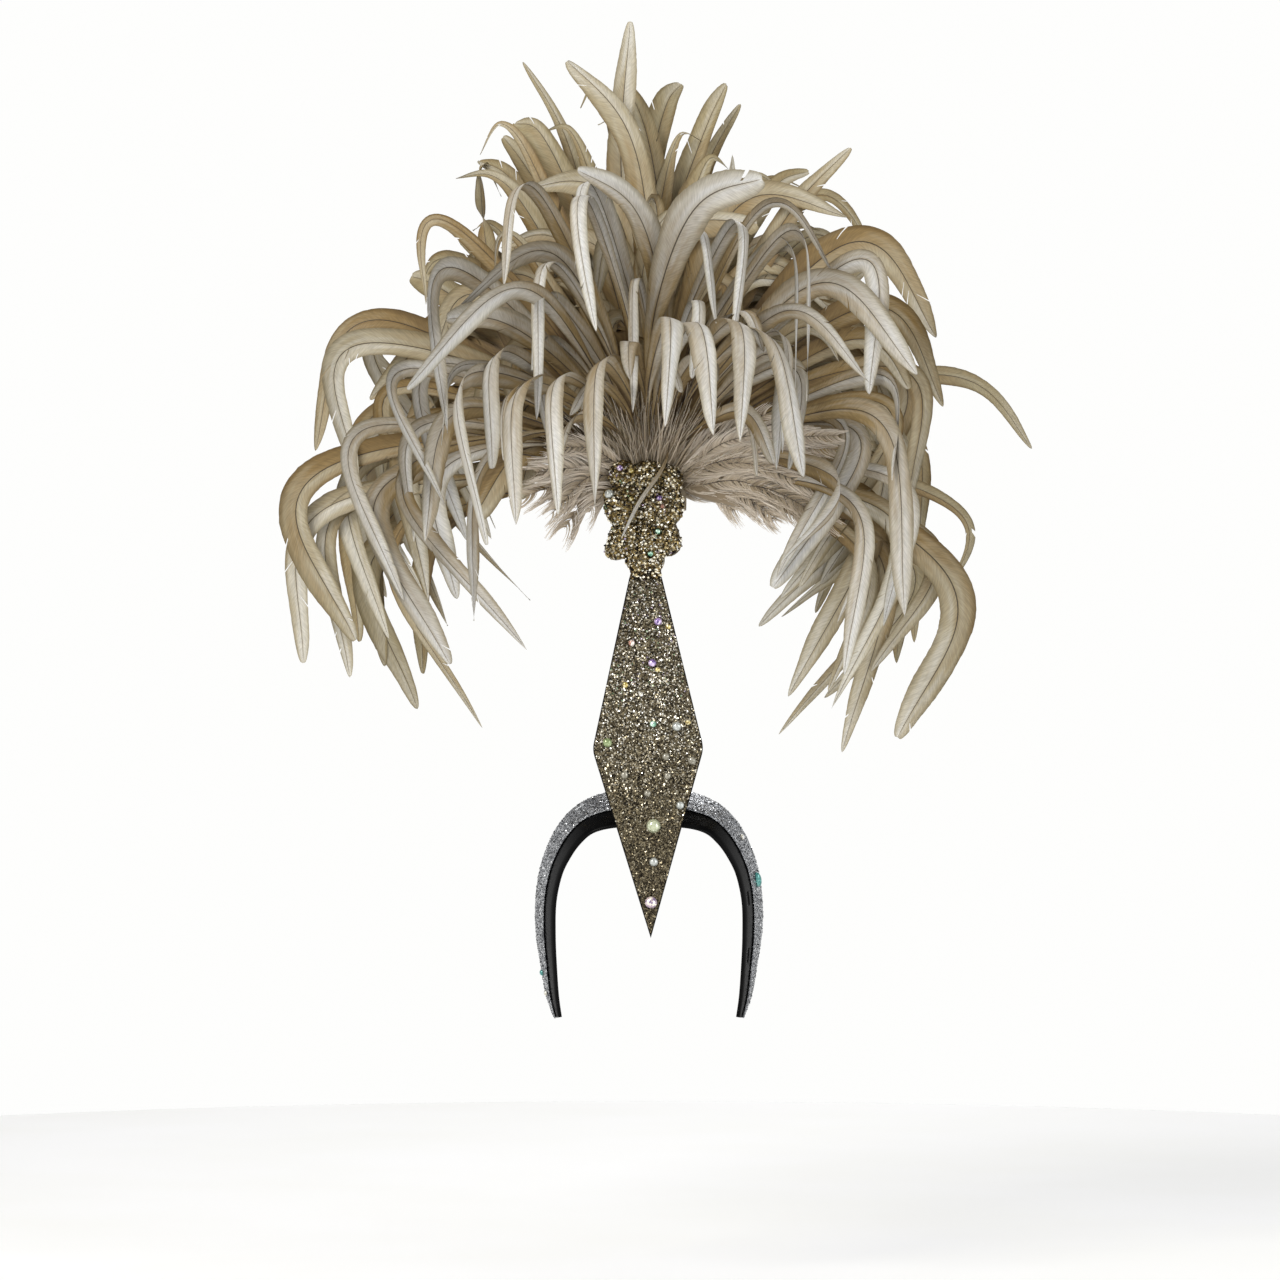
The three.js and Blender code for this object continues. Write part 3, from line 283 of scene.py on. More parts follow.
# Feathers that show one by one, as in the solids, and how pale each is, from tan to white.
FEATHER_COLUMNS = ["row", "peakX", "peakZ", "tipX", "tipZ", "bow", "depth", "width", "pale"]
FEATHERS = [dict(zip(FEATHER_COLUMNS, row)) for row in [
    ("middle", -0.06, 0.7, -0.04, 1.0, 0, 0.04, 1, 0.75),
    ("middle", -0.05, 0.77, -0.175, 0.91, 0.05, 0, 0.95, 0.6),
    ("back", -0.18, 0.765, -0.275, 0.935, 0, 0.16, 0.55, 0.55),
    ("middle", -0.33, 0.78, -0.375, 0.715, 0.06, 0.06, 0.65, 0.15),
    ("back", -0.375, 0.71, -0.345, 0.645, -0.14, 0.2, 0.8, 0.3),
    ("middle", -0.485, 0.57, -0.51, 0.39, 0.1, 0.02, 0.6, 0.1),
    ("front", -0.275, 0.62, -0.33, 0.4, 0.08, -0.28, 0.7, 0.4),
    ("front", -0.445, 0.44, -0.457, 0.095, 0.1, -0.3, 0.85, 0.95),
    ("middle", -0.635, 0.345, -0.74, 0.075, 0.1, 0, 1, 0.1),
    ("back", 0.12, 0.69, 0.2, 0.845, 0, 0.18, 0.65, 0.3),
    ("middle", 0.165, 0.54, 0.18, 0.715, 0.04, 0.06, 0.6, 0.6),
    ("back", 0.26, 0.68, 0.33, 0.67, 0.08, 0.22, 0.65, 0.3),
    ("middle", 0.315, 0.605, 0.435, 0.73, 0.03, 0.06, 0.7, 0.3),
    ("back", 0.385, 0.645, 0.51, 0.525, 0.08, 0.22, 0.65, 0.25),
    ("front", 0.27, 0.59, 0.405, 0.415, 0.08, -0.16, 0.45, 0.4),
    ("middle", 0.475, 0.525, 0.64, 0.32, 0.1, 0.04, 1, 0.25),
    ("front", 0.315, 0.52, 0.35, 0.16, 0.08, -0.32, 0.8, 0.85),
    ("front", 0.47, 0.465, 0.49, 0.18, 0.08, -0.2, 0.75, 0.9),
    ("middle", 0.515, 0.38, 0.65, 0.17, 0.1, 0, 0.95, 0.2),
    ("back", 0.715, 0.237, 0.855, 0.095, 0.1, 0.24, 0.65, 0.5),
    ("middle", -0.75, -0.02, -0.63, -0.33, 0.16, 0.02, 1, 0.45),
    ("front", -0.583, -0.04, -0.446, -0.385, 0.16, -0.18, 0.95, 0.6),
    ("middle", -0.555, -0.13, -0.378, -0.52, 0.22, 0.1, 0.45, 0.4),
    ("front", -0.52, 0.0, -0.27, -0.355, 0.16, -0.26, 0.8, 0.6),
    ("front", -0.35, 0.02, -0.367, -0.295, 0.2, -0.34, 0.7, 0.6),
    ("front", -0.39, 0.2, -0.335, -0.14, 0.14, -0.42, 0.95, 0.9),
    ("front", -0.273, 0.18, -0.275, -0.1, 0.12, -0.48, 0.8, 0.65),
    ("front", -0.196, 0.196, -0.192, -0.08, 0.1, -0.52, 0.8, 0.85),
    ("front", -0.107, 0.23, -0.12, -0.066, 0.08, -0.56, 0.8, 0.6),
    ("middle", 0.53, -0.17, 0.303, -0.534, 0.22, 0.08, 0.45, 0.4),
    ("middle", 0.47, -0.17, 0.395, -0.44, 0.2, 0.03, 0.6, 0.55),
    ("middle", 0.66, -0.235, 0.54, -0.538, 0.22, 0, 1.15, 0.6),
    ("back", 0.705, -0.075, 0.68, -0.207, 0.14, 0.24, 0.45, 0.3),
    ("front", 0.405, -0.02, 0.29, -0.175, 0.16, -0.3, 0.7, 0.5),
    ("front", 0.465, -0.107, 0.408, -0.3, 0.18, -0.2, 0.45, 0.5),
    ("front", 0.047, 0.325, 0.047, 0.096, 0.06, -0.56, 0.85, 0.95),
    ("front", 0.11, 0.316, 0.158, 0.081, 0.08, -0.52, 0.85, 1),
    ("front", 0.192, 0.32, 0.21, 0.07, 0.1, -0.48, 0.8, 0.7),
    ("front", 0.25, 0.3, 0.34, 0, 0.12, -0.4, 0.8, 0.8),
]]

# How far the plume reaches at each angle round its hub, in degrees from the right, as a share.
OUTLINE_ANGLES = [-60, -40, -20, 0, 25, 45, 60, 76, 90, 105, 118, 135, 160, 180, 205, 225, 240]
OUTLINE_REACH = [0.6, 0.74, 0.71, 0.66, 0.7, 0.74, 0.82, 0.84, 0.95, 0.92, 0.8, 0.72, 0.74, 0.75, 0.72, 0.6,
                 0.55]

# Feathers that droop at both ends of a row: angle of the peak above the level, its reach as a share of
# the outline, how far the tip hangs under it, and the depth.
DROOPS = [
    ("back", 34, 0.8, 0.18, 0.3),
    ("back", 24, 0.66, 0.24, 0.42),
    ("back", 13, 0.86, 0.29, 0.22),
    ("back", 1, 0.86, 0.34, 0.36),
    ("back", -8, 0.8, 0.3, 0.2),
    ("back", -14, 0.68, 0.28, 0.36),
]

# The many feathers between them, in bunches. angle: where the peaks lie, in degrees from the right.
# reach: of the peaks, as a share of the outline. drop: how far the tips hang under the peaks, and out:
# how far beyond them, as shares of the reach. depth, width and pale are as for the feathers above.
BUNCH_COLUMNS = ["row", "count", "angle", "reach", "drop", "out", "depth", "width", "pale"]
BUNCHES = [dict(zip(BUNCH_COLUMNS, row)) for row in [
    ("back", 28, (38, 142), (0.78, 0.96), (-0.02, 0.12), (0.04, 0.12), (0.06, 0.2), (0.85, 1.2), (0.15, 0.5)),
    ("back", 22, (20, 160), (0.56, 0.78), (0.02, 0.18), (0.06, 0.15), (0.2, 0.46), (0.8, 1.1), (0.1, 0.4)),
    ("back", 18, (10, 170), (0.42, 0.7), (0.02, 0.2), (0.06, 0.14), (0.14, 0.46), (0.75, 1), (0, 0.3)),
    ("back", 8, (-18, 22), (0.66, 0.9), (0.14, 0.36), (-0.2, 0), (0.1, 0.4), (0.65, 1), (0.4, 1.1)),
    ("back", 6, (158, 198), (0.6, 0.86), (0.14, 0.36), (-0.2, 0), (0.1, 0.4), (0.65, 1), (0.4, 1.1)),
    ("middle", 24, (26, 154), (0.5, 0.84), (0.04, 0.2), (0.05, 0.14), (-0.08, 0.1), (0.7, 0.95), (0.1, 0.5)),
    ("middle", 20, (14, 166), (0.3, 0.6), (0.05, 0.22), (0.05, 0.12), (-0.1, 0.08), (0.75, 1), (0, 0.3)),
    ("middle", 11, (-20, 26), (0.62, 0.92), (0.2, 0.42), (-0.24, -0.02), (-0.02, 0.1), (0.6, 1), (0.5, 1.2)),
    ("middle", 10, (148, 190), (0.7, 0.98), (0.2, 0.4), (-0.16, 0), (-0.02, 0.1), (0.6, 1), (0.5, 1.2)),
    ("front", 15, (28, 152), (0.44, 0.76), (0.16, 0.36), (0, 0.06), (-0.44, -0.16), (0.4, 0.85), (0.8, 1.15)),
    ("front", 10, (20, 160), (0.26, 0.5), (0.08, 0.22), (0.02, 0.08), (-0.4, -0.16), (0.45, 0.8), (0.1, 0.5)),
    ("front", 5, (-12, 28), (0.55, 0.82), (0.2, 0.36), (-0.16, 0.02), (-0.3, -0.08), (0.5, 0.85), (0.8, 1.2)),
    ("front", 5, (150, 186), (0.6, 0.86), (0.2, 0.36), (-0.16, 0.02), (-0.3, -0.08), (0.5, 0.85), (0.8, 1.2)),
]]

# Locks of down beside the medallion: angle in degrees from the right, and share of the longest.
DOWN = [(-26, 0.62), (-8, 0.9), (10, 1), (30, 0.72), (150, 0.5), (172, 0.6), (196, 0.58), (216, 0.44)]
# How full the core of a lock is along its length.
LOCK_PROFILE = [(0.02, 0.35), (0.2, 0.7), (0.4, 0.85), (0.6, 0.8), (0.76, 0.6), (0.9, 0.35), (0.97, 0.1)]

# The stray quill over the medallion, from its root to its tip: right, to the back and up from the hub of
# the plume, in millimetres.
STRAY_QUILL = [(16, -1, 34), (12, -13, 10), (-8, -15.5, -22), (-21, -12, -48)]
STRAY_QUILL_WIDTH = 2.6 * MM

# Rows, front to back: the order of the backings, and the range of depth, count and paleness of the
# feathers that fill each.
ROW_COLUMNS = ["order", "shallow", "deep", "fill", "pale"]
ROWS = {name: dict(zip(ROW_COLUMNS, row)) for name, row in {
    "front": (0, -0.16, -0.46, 9, (0.4, 0.9)),
    "middle": (1, 0, 0.06, 12, (0.1, 0.5)),
    "back": (2, 0.22, 0.56, 14, (0.1, 0.45)),
}.items()}

# The random draws of each piece start from its own seed.
ROW_SEEDS = {"front": 101, "middle": 202, "back": 303}
DOWN_SEED = 71
QUILL_SEED = 5
BEAD_SEED = 47

# Studio
CAMERA_DISTANCE = 3.6
SENSOR_MM = 36
PHOTO_HEIGHT = 0.956
PHOTO_CENTRE = np.array([-6.7, 0, 136]) * MM
FLOOR_HEIGHT = -0.352
FLOOR_RADIUS = 1.5
PLUME_CENTRE = (0, 0, 0.25)
# Softboxes: name, place, what it points at, width and height, power in watts, colour.
SOFTBOXES = [
    ("key_softbox", (-1.6, -2.2, 2.0), PLUME_CENTRE, (1.4, 1.4), 64, "#fffdf8"),
    ("fill_softbox", (2.0, -2.0, 0.9), PLUME_CENTRE, (1.4, 1.8), 22, "#f8fbff"),
    ("rim_softbox", (0.4, 2.2, 1.9), PLUME_CENTRE, (1.6, 1.0), 30, "#ffffff"),
    ("top_softbox", (0.1, -0.5, 2.7), (0.1, -0.2, 0), (2.4, 2.4), 13, "#fffefa"),
]
# The air round the studio, bright low down and dim high up: heights as shares, and linear light.
AIR = [(0.17, (0.99, 0.99, 0.98, 1)), (0.6, (0.24, 0.24, 0.25, 1))]


# Mesh building

class Heap:
    """Points and faces of one piece, gathered a batch at a time, with a value per point for each name."""

    def __init__(self):
        self.points = []
        self.faces = []
        self.looks = []
        self.values = {}
        self.count = 0

    def add(self, points, faces, look=0, **values):
        points = np.asarray(points, float).reshape(-1, 3)
        faces = np.asarray(faces, int)
        self.points.append(points)
        self.faces.append(faces + self.count)
        self.looks.append(look)
        for name, value in values.items():
            wide = np.broadcast_to(np.asarray(value, float), (len(points),))
            self.values.setdefault(name, []).append((self.count, wide))
        self.count += len(points)

    def mesh(self, name):
        points = np.concatenate(self.points)
        mesh = bpy.data.meshes.new(name)
        mesh.vertices.add(len(points))
        mesh.vertices.foreach_set("co", points.astype(np.float32).ravel())
        corners = np.concatenate([faces.ravel() for faces in self.faces])
        sizes = np.concatenate([np.full(len(faces), faces.shape[1]) for faces in self.faces])
        looks = np.concatenate([np.full(len(f), look) for f, look in zip(self.faces, self.looks)])
        mesh.loops.add(len(corners))
        mesh.loops.foreach_set("vertex_index", corners.astype(np.int32))
        mesh.polygons.add(len(sizes))
        starts = np.concatenate([[0], np.cumsum(sizes)[:-1]])
        mesh.polygons.foreach_set("loop_start", starts.astype(np.int32))
        mesh.polygons.foreach_set("material_index", looks.astype(np.int32))
        mesh.update(calc_edges=True)
        mesh.validate()
        for value_name, batches in self.values.items():
            whole = np.zeros(len(points), np.float32)
            for start, wide in batches:
                whole[start:start + len(wide)] = wide
            attribute = mesh.attributes.new(value_name, "FLOAT", "POINT")
            attribute.data.foreach_set("value", whole)
        return mesh


def new_object(name, data):
    made = bpy.data.objects.new(name, data)
    bpy.context.scene.collection.objects.link(made)
    return made


def add_piece(name, mesh, looks, replaces=(), smooth=True):
    piece = new_object(name, mesh)
    for look in looks:
        mesh.materials.append(look)
    if smooth:
        mesh.shade_smooth()
    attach(piece, "root")
    if replaces:
        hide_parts(*replaces)


def applied(body, *spares):
    """The mesh of an object after its modifiers. The object and its spare helpers are removed."""
    graph = bpy.context.evaluated_depsgraph_get()
    mesh = bpy.data.meshes.new_from_object(body.evaluated_get(graph))
    for spare in (body, *spares):
        bpy.data.objects.remove(spare)
    return mesh


def vertex_places(mesh):
    places = np.zeros(len(mesh.vertices) * 3)
    mesh.vertices.foreach_get("co", places)
    return places.reshape(-1, 3)


def outward_normals(mesh):
    """Joins the points of a closed mesh that lie together, and turns its faces outward."""
    work = bmesh.new()
    work.from_mesh(mesh)
    bmesh.ops.remove_doubles(work, verts=work.verts, dist=1e-7)
    bmesh.ops.recalc_face_normals(work, faces=work.faces)
    work.to_mesh(mesh)
    work.free()


def grid_faces(rows, columns):
    """The faces of a sheet of points, row after row."""
    near = np.arange(rows * columns).reshape(rows, columns)
    corners = [near[:-1, :-1], near[:-1, 1:], near[1:, 1:], near[1:, :-1]]
    return np.stack(corners, axis=-1).reshape(-1, 4)


def ring_faces(rings, sides):
    """The faces between closed rings of points."""
    near = np.arange(rings * sides).reshape(rings, sides)
    turned = np.roll(near, -1, axis=1)
    corners = [near[:-1], turned[:-1], turned[1:], near[1:]]
    return np.stack(corners, axis=-1).reshape(-1, 4)


def turned(profile, sides):
    """Rings of a form turned round Z, from a profile of radii and heights. The last ring is the top."""
    turns = np.arange(sides) * 2 * math.pi / sides
    return np.array([np.stack([radius * np.cos(turns), radius * np.sin(turns), np.full(sides, height)], -1)
                     for radius, height in profile])


def tube(path, across, faces, sides, wide, deep):
    """Rings of points round a path. wide and deep are its radii at each place, across it and to its face."""
    turns = (np.arange(sides) * 2 * math.pi / sides)[None, :, None]
    return (path[:, None] + across[:, None] * (np.cos(turns) * wide[:, None, None])
            + faces[:, None] * (np.sin(turns) * deep[:, None, None]))


def unit(vectors):
    return vectors / np.maximum(np.linalg.norm(vectors, axis=-1, keepdims=True), 1e-12)


def smooth_step(value, low, high):
    part = np.clip((value - low) / (high - low), 0, 1)
    return part * part * (3 - 2 * part)


def mix(low, high, part):
    return low + (high - low) * part


def crest_to_world(points, roll=True):
    """From the frame of the crest, whose Z runs up the plate, to that of the headdress."""
    points = np.asarray(points, float)
    x, y, z = points[..., 0], points[..., 1], points[..., 2]
    if roll:
        cos, sin = math.cos(CREST_ROLL), math.sin(CREST_ROLL)
        x, z = x * cos + z * sin, -x * sin + z * cos
    cos, sin = math.cos(CREST_LEAN), math.sin(CREST_LEAN)
    y, z = y * cos + z * sin, -y * sin + z * cos
    return np.stack([x, y + BAND_FRONT - CREST_STANDOFF, z], axis=-1)


CREST_FOOT = -CREST_BELOW / math.cos(CREST_LEAN)
MEDALLION_FOOT = CREST_FOOT + CREST_LENGTH + MEDALLION_NECK_GAP
HUB_UP = MEDALLION_FOOT + PLUME_HUB_HEIGHT
CREST_FACES = crest_to_world([0, -1, 0]) - crest_to_world([0, 0, 0])


# Materials

def linear(hex_colour):
    """An sRGB colour such as #a08c6c, as linear values with alpha."""
    parts = [int(hex_colour[i:i + 2], 16) / 255 for i in (1, 3, 5)]
    return tuple(p / 12.92 if p <= 0.04045 else ((p + 0.055) / 1.055) ** 2.4 for p in parts) + (1,)


def connect(look, made, **inputs):
    """Fills inputs of a node, each by its name or, as in i1, its number. A value is an output to link, or a
    node whose first output is meant, or else the input's own value."""
    for name, value in inputs.items():
        key = int(name[1:]) if name[1:].isdigit() else name.replace("_", " ")
        if isinstance(value, bpy.types.Node):
            value = value.outputs[0]
        if isinstance(value, bpy.types.NodeSocket):
            look.node_tree.links.new(value, made.inputs[key])
        else:
            made.inputs[key].default_value = value


def new_look(name, **inputs):
    """A material with one shader, and the shader's uniform values."""
    look = bpy.data.materials.new(name)
    look.use_nodes = True
    shader = look.node_tree.nodes["Principled BSDF"]
    connect(look, shader, **inputs)
    return look, shader


def node(look, kind, settings=None, **inputs):
    """Adds a node with its settings and inputs. The setting stops is a ramp's places and hex colours."""
    made = look.node_tree.nodes.new(kind)
    for name, value in (settings or {}).items():
        if name != "stops":
            setattr(made, name, value)
            continue
        elements = made.color_ramp.elements
        while len(elements) < len(value):
            elements.new(0.5)
        for element, (place, colour) in zip(elements, value):
            element.position = place
            element.color = linear(colour)
    connect(look, made, **inputs)
    return made


def counted_in(look, *grain):
    """Places in the piece, counted in grains of a real size in millimetres, one size or one for each axis."""
    place = node(look, "ShaderNodeTexCoord")
    scale = [1000 / size for size in (grain if len(grain) == 3 else grain * 3)]
    return node(look, "ShaderNodeMapping", Vector=place.outputs["Object"], Scale=scale)


def point_value(look, name):
    """A value that the piece's points carry, such as how far along the feather they lie."""
    return node(look, "ShaderNodeAttribute", {"attribute_name": name}).outputs["Fac"]


def moulded_plastic():
    """Injection-moulded ABS, glossy black: a soft clear reflection, broken by faint flow waves and rubs."""
    look, shader = new_look("moulded_black_abs", IOR=1.54, Metallic=0.0, Specular_IOR_Level=0.06)
    waves = node(look, "ShaderNodeTexNoise", Vector=counted_in(look, 16.67), Scale=1.0, Detail=3.0)
    streaks = counted_in(look, 4.167, 4.167, 1.111)
    rubs = node(look, "ShaderNodeTexNoise", Vector=streaks, Scale=1.0, Detail=2.0)
    stops = [(0.3, "#030303"), (0.7, "#080809")]
    connect(look, shader,
            Base_Color=node(look, "ShaderNodeValToRGB", {"stops": stops}, Fac=waves),
            Roughness=node(look, "ShaderNodeMapRange", Value=rubs, i1=0.35, i2=0.7, i3=0.18, i4=0.34),
            Normal=node(look, "ShaderNodeBump", Height=waves, Strength=0.15, Distance=0.4 * MM))
    return look


def glitter_base(name, grain, depth, stops):
    """Glitter bedded in clear glue: each grain is a small tilted mirror of its own shade. grain is the
    real grit in millimetres, about 1 mm on the plate. The band's real grit is 0.4 mm, drawn at 0.9 mm so
    that it shows."""
    look, shader = new_look(name, Metallic=0.75)
    cells = node(look, "ShaderNodeTexVoronoi", Vector=counted_in(look, grain), Scale=1.0)
    tone = node(look, "ShaderNodeSeparateColor", Color=cells.outputs["Color"]).outputs
    connect(look, shader,
            Base_Color=node(look, "ShaderNodeValToRGB", {"stops": stops}, Fac=tone["Red"]),
            Roughness=node(look, "ShaderNodeMapRange", Value=tone["Green"], i1=0.0, i2=1.0, i3=0.22, i4=0.6),
            Normal=node(look, "ShaderNodeBump", Height=tone["Blue"], Strength=0.8, Distance=depth))
    return look


def glitter_chips(name, stops):
    """Loose polyester glitter flakes: mirror-flat, each with the shade of its own foil and its own tilt."""
    look, shader = new_look(name, Metallic=0.85)
    shade = node(look, "ShaderNodeValToRGB", {"stops": stops}, Fac=point_value(look, "chip"))
    shade.color_ramp.interpolation = "CONSTANT"
    wear = node(look, "ShaderNodeTexNoise", Vector=counted_in(look, 2.5), Scale=1.0, Detail=1.0)
    connect(look, shader,
            Base_Color=shade,
            Roughness=node(look, "ShaderNodeMapRange", Value=wear, i1=0.3, i2=0.7, i3=0.12, i4=0.34))
    return look


def cast_bronze():
    """A cast and plated pot-metal ornament: warm bronze, bright on the high places, dark in the pits."""
    look, shader = new_look("cast_champagne_bronze", Metallic=0.8)
    pits = node(look, "ShaderNodeTexNoise", Vector=counted_in(look, 1.429), Scale=1.0, Detail=4.0)
    lumps = node(look, "ShaderNodeTexVoronoi", Vector=counted_in(look, 2.222), Scale=1.0)
    stops = [(0.3, "#2c2212"), (0.5, "#6c5a36"), (0.7, "#bfa970")]
    connect(look, shader,
            Base_Color=node(look, "ShaderNodeValToRGB", {"stops": stops}, Fac=pits),
            Roughness=node(look, "ShaderNodeMapRange", Value=pits, i1=0.3, i2=0.7, i3=0.55, i4=0.28),
            Normal=node(look, "ShaderNodeBump", Height=lumps, Strength=0.7, Distance=0.6 * MM))
    return look


def stone_glass(name, dark, main, bright, cut):
    """Pressed glass with a foil back, under a hard clear gloss. Its colour lies in patches about 2 mm across,
    a
    dark one beside a bright one: the glass's own colour with painted reflections and glints."""
    look, shader = new_look(name, IOR=1.54, Metallic=0.35, Coat_Weight=1.0, Coat_Roughness=0.03)
    clouds = node(look, "ShaderNodeTexNoise", Vector=counted_in(look, 2), Scale=1.0, Detail=2.0)
    source = clouds
    if cut == "facet":
        painted_reflection_patches = node(look, "ShaderNodeTexVoronoi", Vector=counted_in(look, 1.6), Scale=1.0)
        source = node(look, "ShaderNodeSeparateColor", Color=painted_reflection_patches.outputs["Color"])
    # Dark, main and bright: the glass's own colour with painted reflections and glints.
    stops = [(0.15, dark), (0.5, main), (0.85, bright)]
    connect(look, shader,
            Base_Color=node(look, "ShaderNodeValToRGB", {"stops": stops}, Fac=source),
            Roughness=node(look, "ShaderNodeMapRange", Value=clouds, i1=0.3, i2=0.7, i3=0.05, i4=0.2))
    return look


def feather_vane(name, deep, tan, cream, white):
    """A bleached coque feather: keratin barbs with a soft satin gloss. Brown by the root, partly its own
    colour and partly painted shade of the plume's depth, tan further up and almost white at the tip, dark
    along the quill, a little darker at the edge as painted shade where the thin vane curls away, with the
    barbs as faint slanting lines. The real barbs are 0.4 mm apart, and they are drawn about 1 mm apart so
    that they show."""
    look, shader = new_look(name, IOR=1.54, Roughness=0.55, Sheen_Weight=0.1, Sheen_Roughness=0.4,
                            Specular_IOR_Level=0.35)
    across, barb, pale = (point_value(look, value) for value in ("across", "barb", "pale"))
    spot = node(look, "ShaderNodeCombineXYZ", X=across, Y=barb, Z=pale)
    stretched = node(look, "ShaderNodeMapping", Vector=spot, Scale=(0.8, 1, 40))
    lines = node(look, "ShaderNodeTexNoise", Vector=stretched, Scale=1.0, Detail=2.0)
    slow = node(look, "ShaderNodeMapping", Vector=spot, Scale=(0.7, 0.03, 40))
    clouds = node(look, "ShaderNodeTexNoise", Vector=slow, Scale=1.0, Detail=2.0)
    drift = node(look, "ShaderNodeMapRange", Value=clouds, i1=0.25, i2=0.75, i3=-0.2, i4=0.2)
    lift = node(look, "ShaderNodeMath", {"operation": "MULTIPLY_ADD"}, i0=pale, i1=0.56, i2=-0.22)
    place = node(look, "ShaderNodeMath", {"operation": "MULTIPLY_ADD"},
                 i0=point_value(look, "along"), i1=1.2, i2=lift)
    drifted = node(look, "ShaderNodeMath", {"operation": "ADD"}, i0=place, i1=drift)
    share = node(look, "ShaderNodeMapRange", Value=drifted, i1=0.1, i2=1.5, i3=0.0, i4=1.0)
    # Brown by the root: partly the feathers' own colour, partly painted shade of the plume's depth.
    up_the_vane_with_painted_depth_shade = [(0.0, deep), (0.34, tan), (0.66, cream), (0.95, white)]
    ground = node(look, "ShaderNodeValToRGB", {"stops": up_the_vane_with_painted_depth_shade}, Fac=share)
    # Dark along the quill: the feather's own quill line. Darker at the outer edge: painted shade where the
    # vane curls away.
    quill_line_and_painted_edge_shade = [(0.01, "#6f604c"), (0.05, "#f0ece2"), (0.25, "#ffffff"), (0.7, "#f6f3ea"),
                       (1.0, "#bdb49c")]
    quill_line_and_painted_edge = node(look, "ShaderNodeValToRGB", {"stops": quill_line_and_painted_edge_shade}, Fac=point_value(look, "middle"))
    with_quill_line_and_painted_edge = node(look, "ShaderNodeVectorMath", {"operation": "MULTIPLY"}, i0=ground, i1=quill_line_and_painted_edge)
    strength = node(look, "ShaderNodeMapRange", Value=lines, i1=0.35, i2=0.65, i3=0.8, i4=1.07)
    connect(look, shader,
            Base_Color=node(look, "ShaderNodeVectorMath", {"operation": "SCALE"}, i0=with_quill_line_and_painted_edge, Scale=strength),
            Normal=node(look, "ShaderNodeBump", Height=lines, Strength=0.25, Distance=0.5 * MM))
    return look


def quill_horn():
    """The feather's shaft: smooth horn, pale and clear at the root and dark brown along the vane."""
    look, shader = new_look("quill_horn", IOR=1.54)
    grain = node(look, "ShaderNodeTexNoise", Vector=counted_in(look, 3.333), Scale=1.0, Detail=2.0)
    drift = node(look, "ShaderNodeMapRange", Value=grain, i1=0.3, i2=0.7, i3=-0.08, i4=0.08)
    place = node(look, "ShaderNodeMath", {"operation": "ADD"}, i0=point_value(look, "along"), i1=drift)
    stops = [(0.05, "#8a7b60"), (0.25, "#3c3124"), (0.8, "#2f2620"), (1.0, "#5a4e3e")]
    connect(look, shader,
            Base_Color=node(look, "ShaderNodeValToRGB", {"stops": stops}, Fac=place),
            Roughness=node(look, "ShaderNodeMapRange", Value=grain, i1=0.3, i2=0.7, i3=0.3, i4=0.5))
    return look


def feather_down():
    """Down: barbs that don't hook together, matt and soft, grey-lilac at the root and beige at the ends."""
    look, shader = new_look("feather_down", IOR=1.54, Roughness=0.85, Sheen_Weight=0.5, Sheen_Roughness=0.5)
    lift = node(look, "ShaderNodeMath", {"operation": "MULTIPLY_ADD"},
                i0=point_value(look, "pale"), i1=0.6, i2=point_value(look, "along"))
    share = node(look, "ShaderNodeMapRange", Value=lift, i1=0.0, i2=1.5, i3=0.0, i4=1.0)
    stops = [(0.0, "#6c5b42"), (0.3, "#9f8f77"), (0.65, "#c4b6a3"), (1.0, "#dad0c2")]
    connect(look, shader, Base_Color=node(look, "ShaderNodeValToRGB", {"stops": stops}, Fac=share))
    return look


def felt_pad():
    """Wool felt backing: matt beige fibres."""
    look, shader = new_look("felt_backing", IOR=1.5, Roughness=0.95, Sheen_Weight=0.3)
    fibres = node(look, "ShaderNodeTexNoise", Vector=counted_in(look, 0.7143), Scale=1.0, Detail=4.0)
    stops = [(0.3, "#6e6250"), (0.7, "#8f826c")]
    connect(look, shader,
            Base_Color=node(look, "ShaderNodeValToRGB", {"stops": stops}, Fac=fibres),
            Normal=node(look, "ShaderNodeBump", Height=fibres, Strength=0.6, Distance=0.4 * MM))
    return look


def studio_white():
    """Matt white paper sweep."""
    look, shader = new_look("studio_paper", Roughness=0.9)
    mottle = node(look, "ShaderNodeTexNoise", Vector=counted_in(look, 250), Scale=1.0, Detail=2.0)
    stops = [(0.3, "#fcfcfa"), (0.7, "#ffffff")]
    connect(look, shader, Base_Color=node(look, "ShaderNodeValToRGB", {"stops": stops}, Fac=mottle))
    return look


PLASTIC = moulded_plastic()
SILVER_BASE = glitter_base("silver_glitter_bed", 0.9, 0.5 * MM, [
    (0.0, "#4c4d50"), (0.45, "#85878b"), (0.85, "#c9cbce")])
SILVER_CHIPS = glitter_chips("silver_glitter_flakes", [
    (0.0, "#3c3d40"), (0.2, "#77797d"), (0.5, "#a8aaad"), (0.75, "#d4d6d8"), (0.93, "#ffffff")])
CHAMPAGNE_BASE = glitter_base("champagne_glitter_bed", 1.1, 0.6 * MM, [
    (0.0, "#241e15"), (0.45, "#544a37"), (0.85, "#857a60")])
CHAMPAGNE_CHIPS = glitter_chips("champagne_glitter_flakes", [
    (0.0, "#1b1712"), (0.2, "#3d3628"), (0.4, "#6b624d"), (0.58, "#968d77"), (0.74, "#cbc4b2"),
    (0.87, "#fbf8ee"), (0.968, "#8ca482"), (0.984, "#a596b0")])
BEAD_SHADES = glitter_chips("champagne_beads", [
    (0.0, "#19120a"), (0.18, "#463821"), (0.38, "#85724a"), (0.56, "#b7a67d"), (0.72, "#e6dcc0"),
    (0.86, "#fffaea")])
BRONZE = cast_bronze()
FELT = felt_pad()
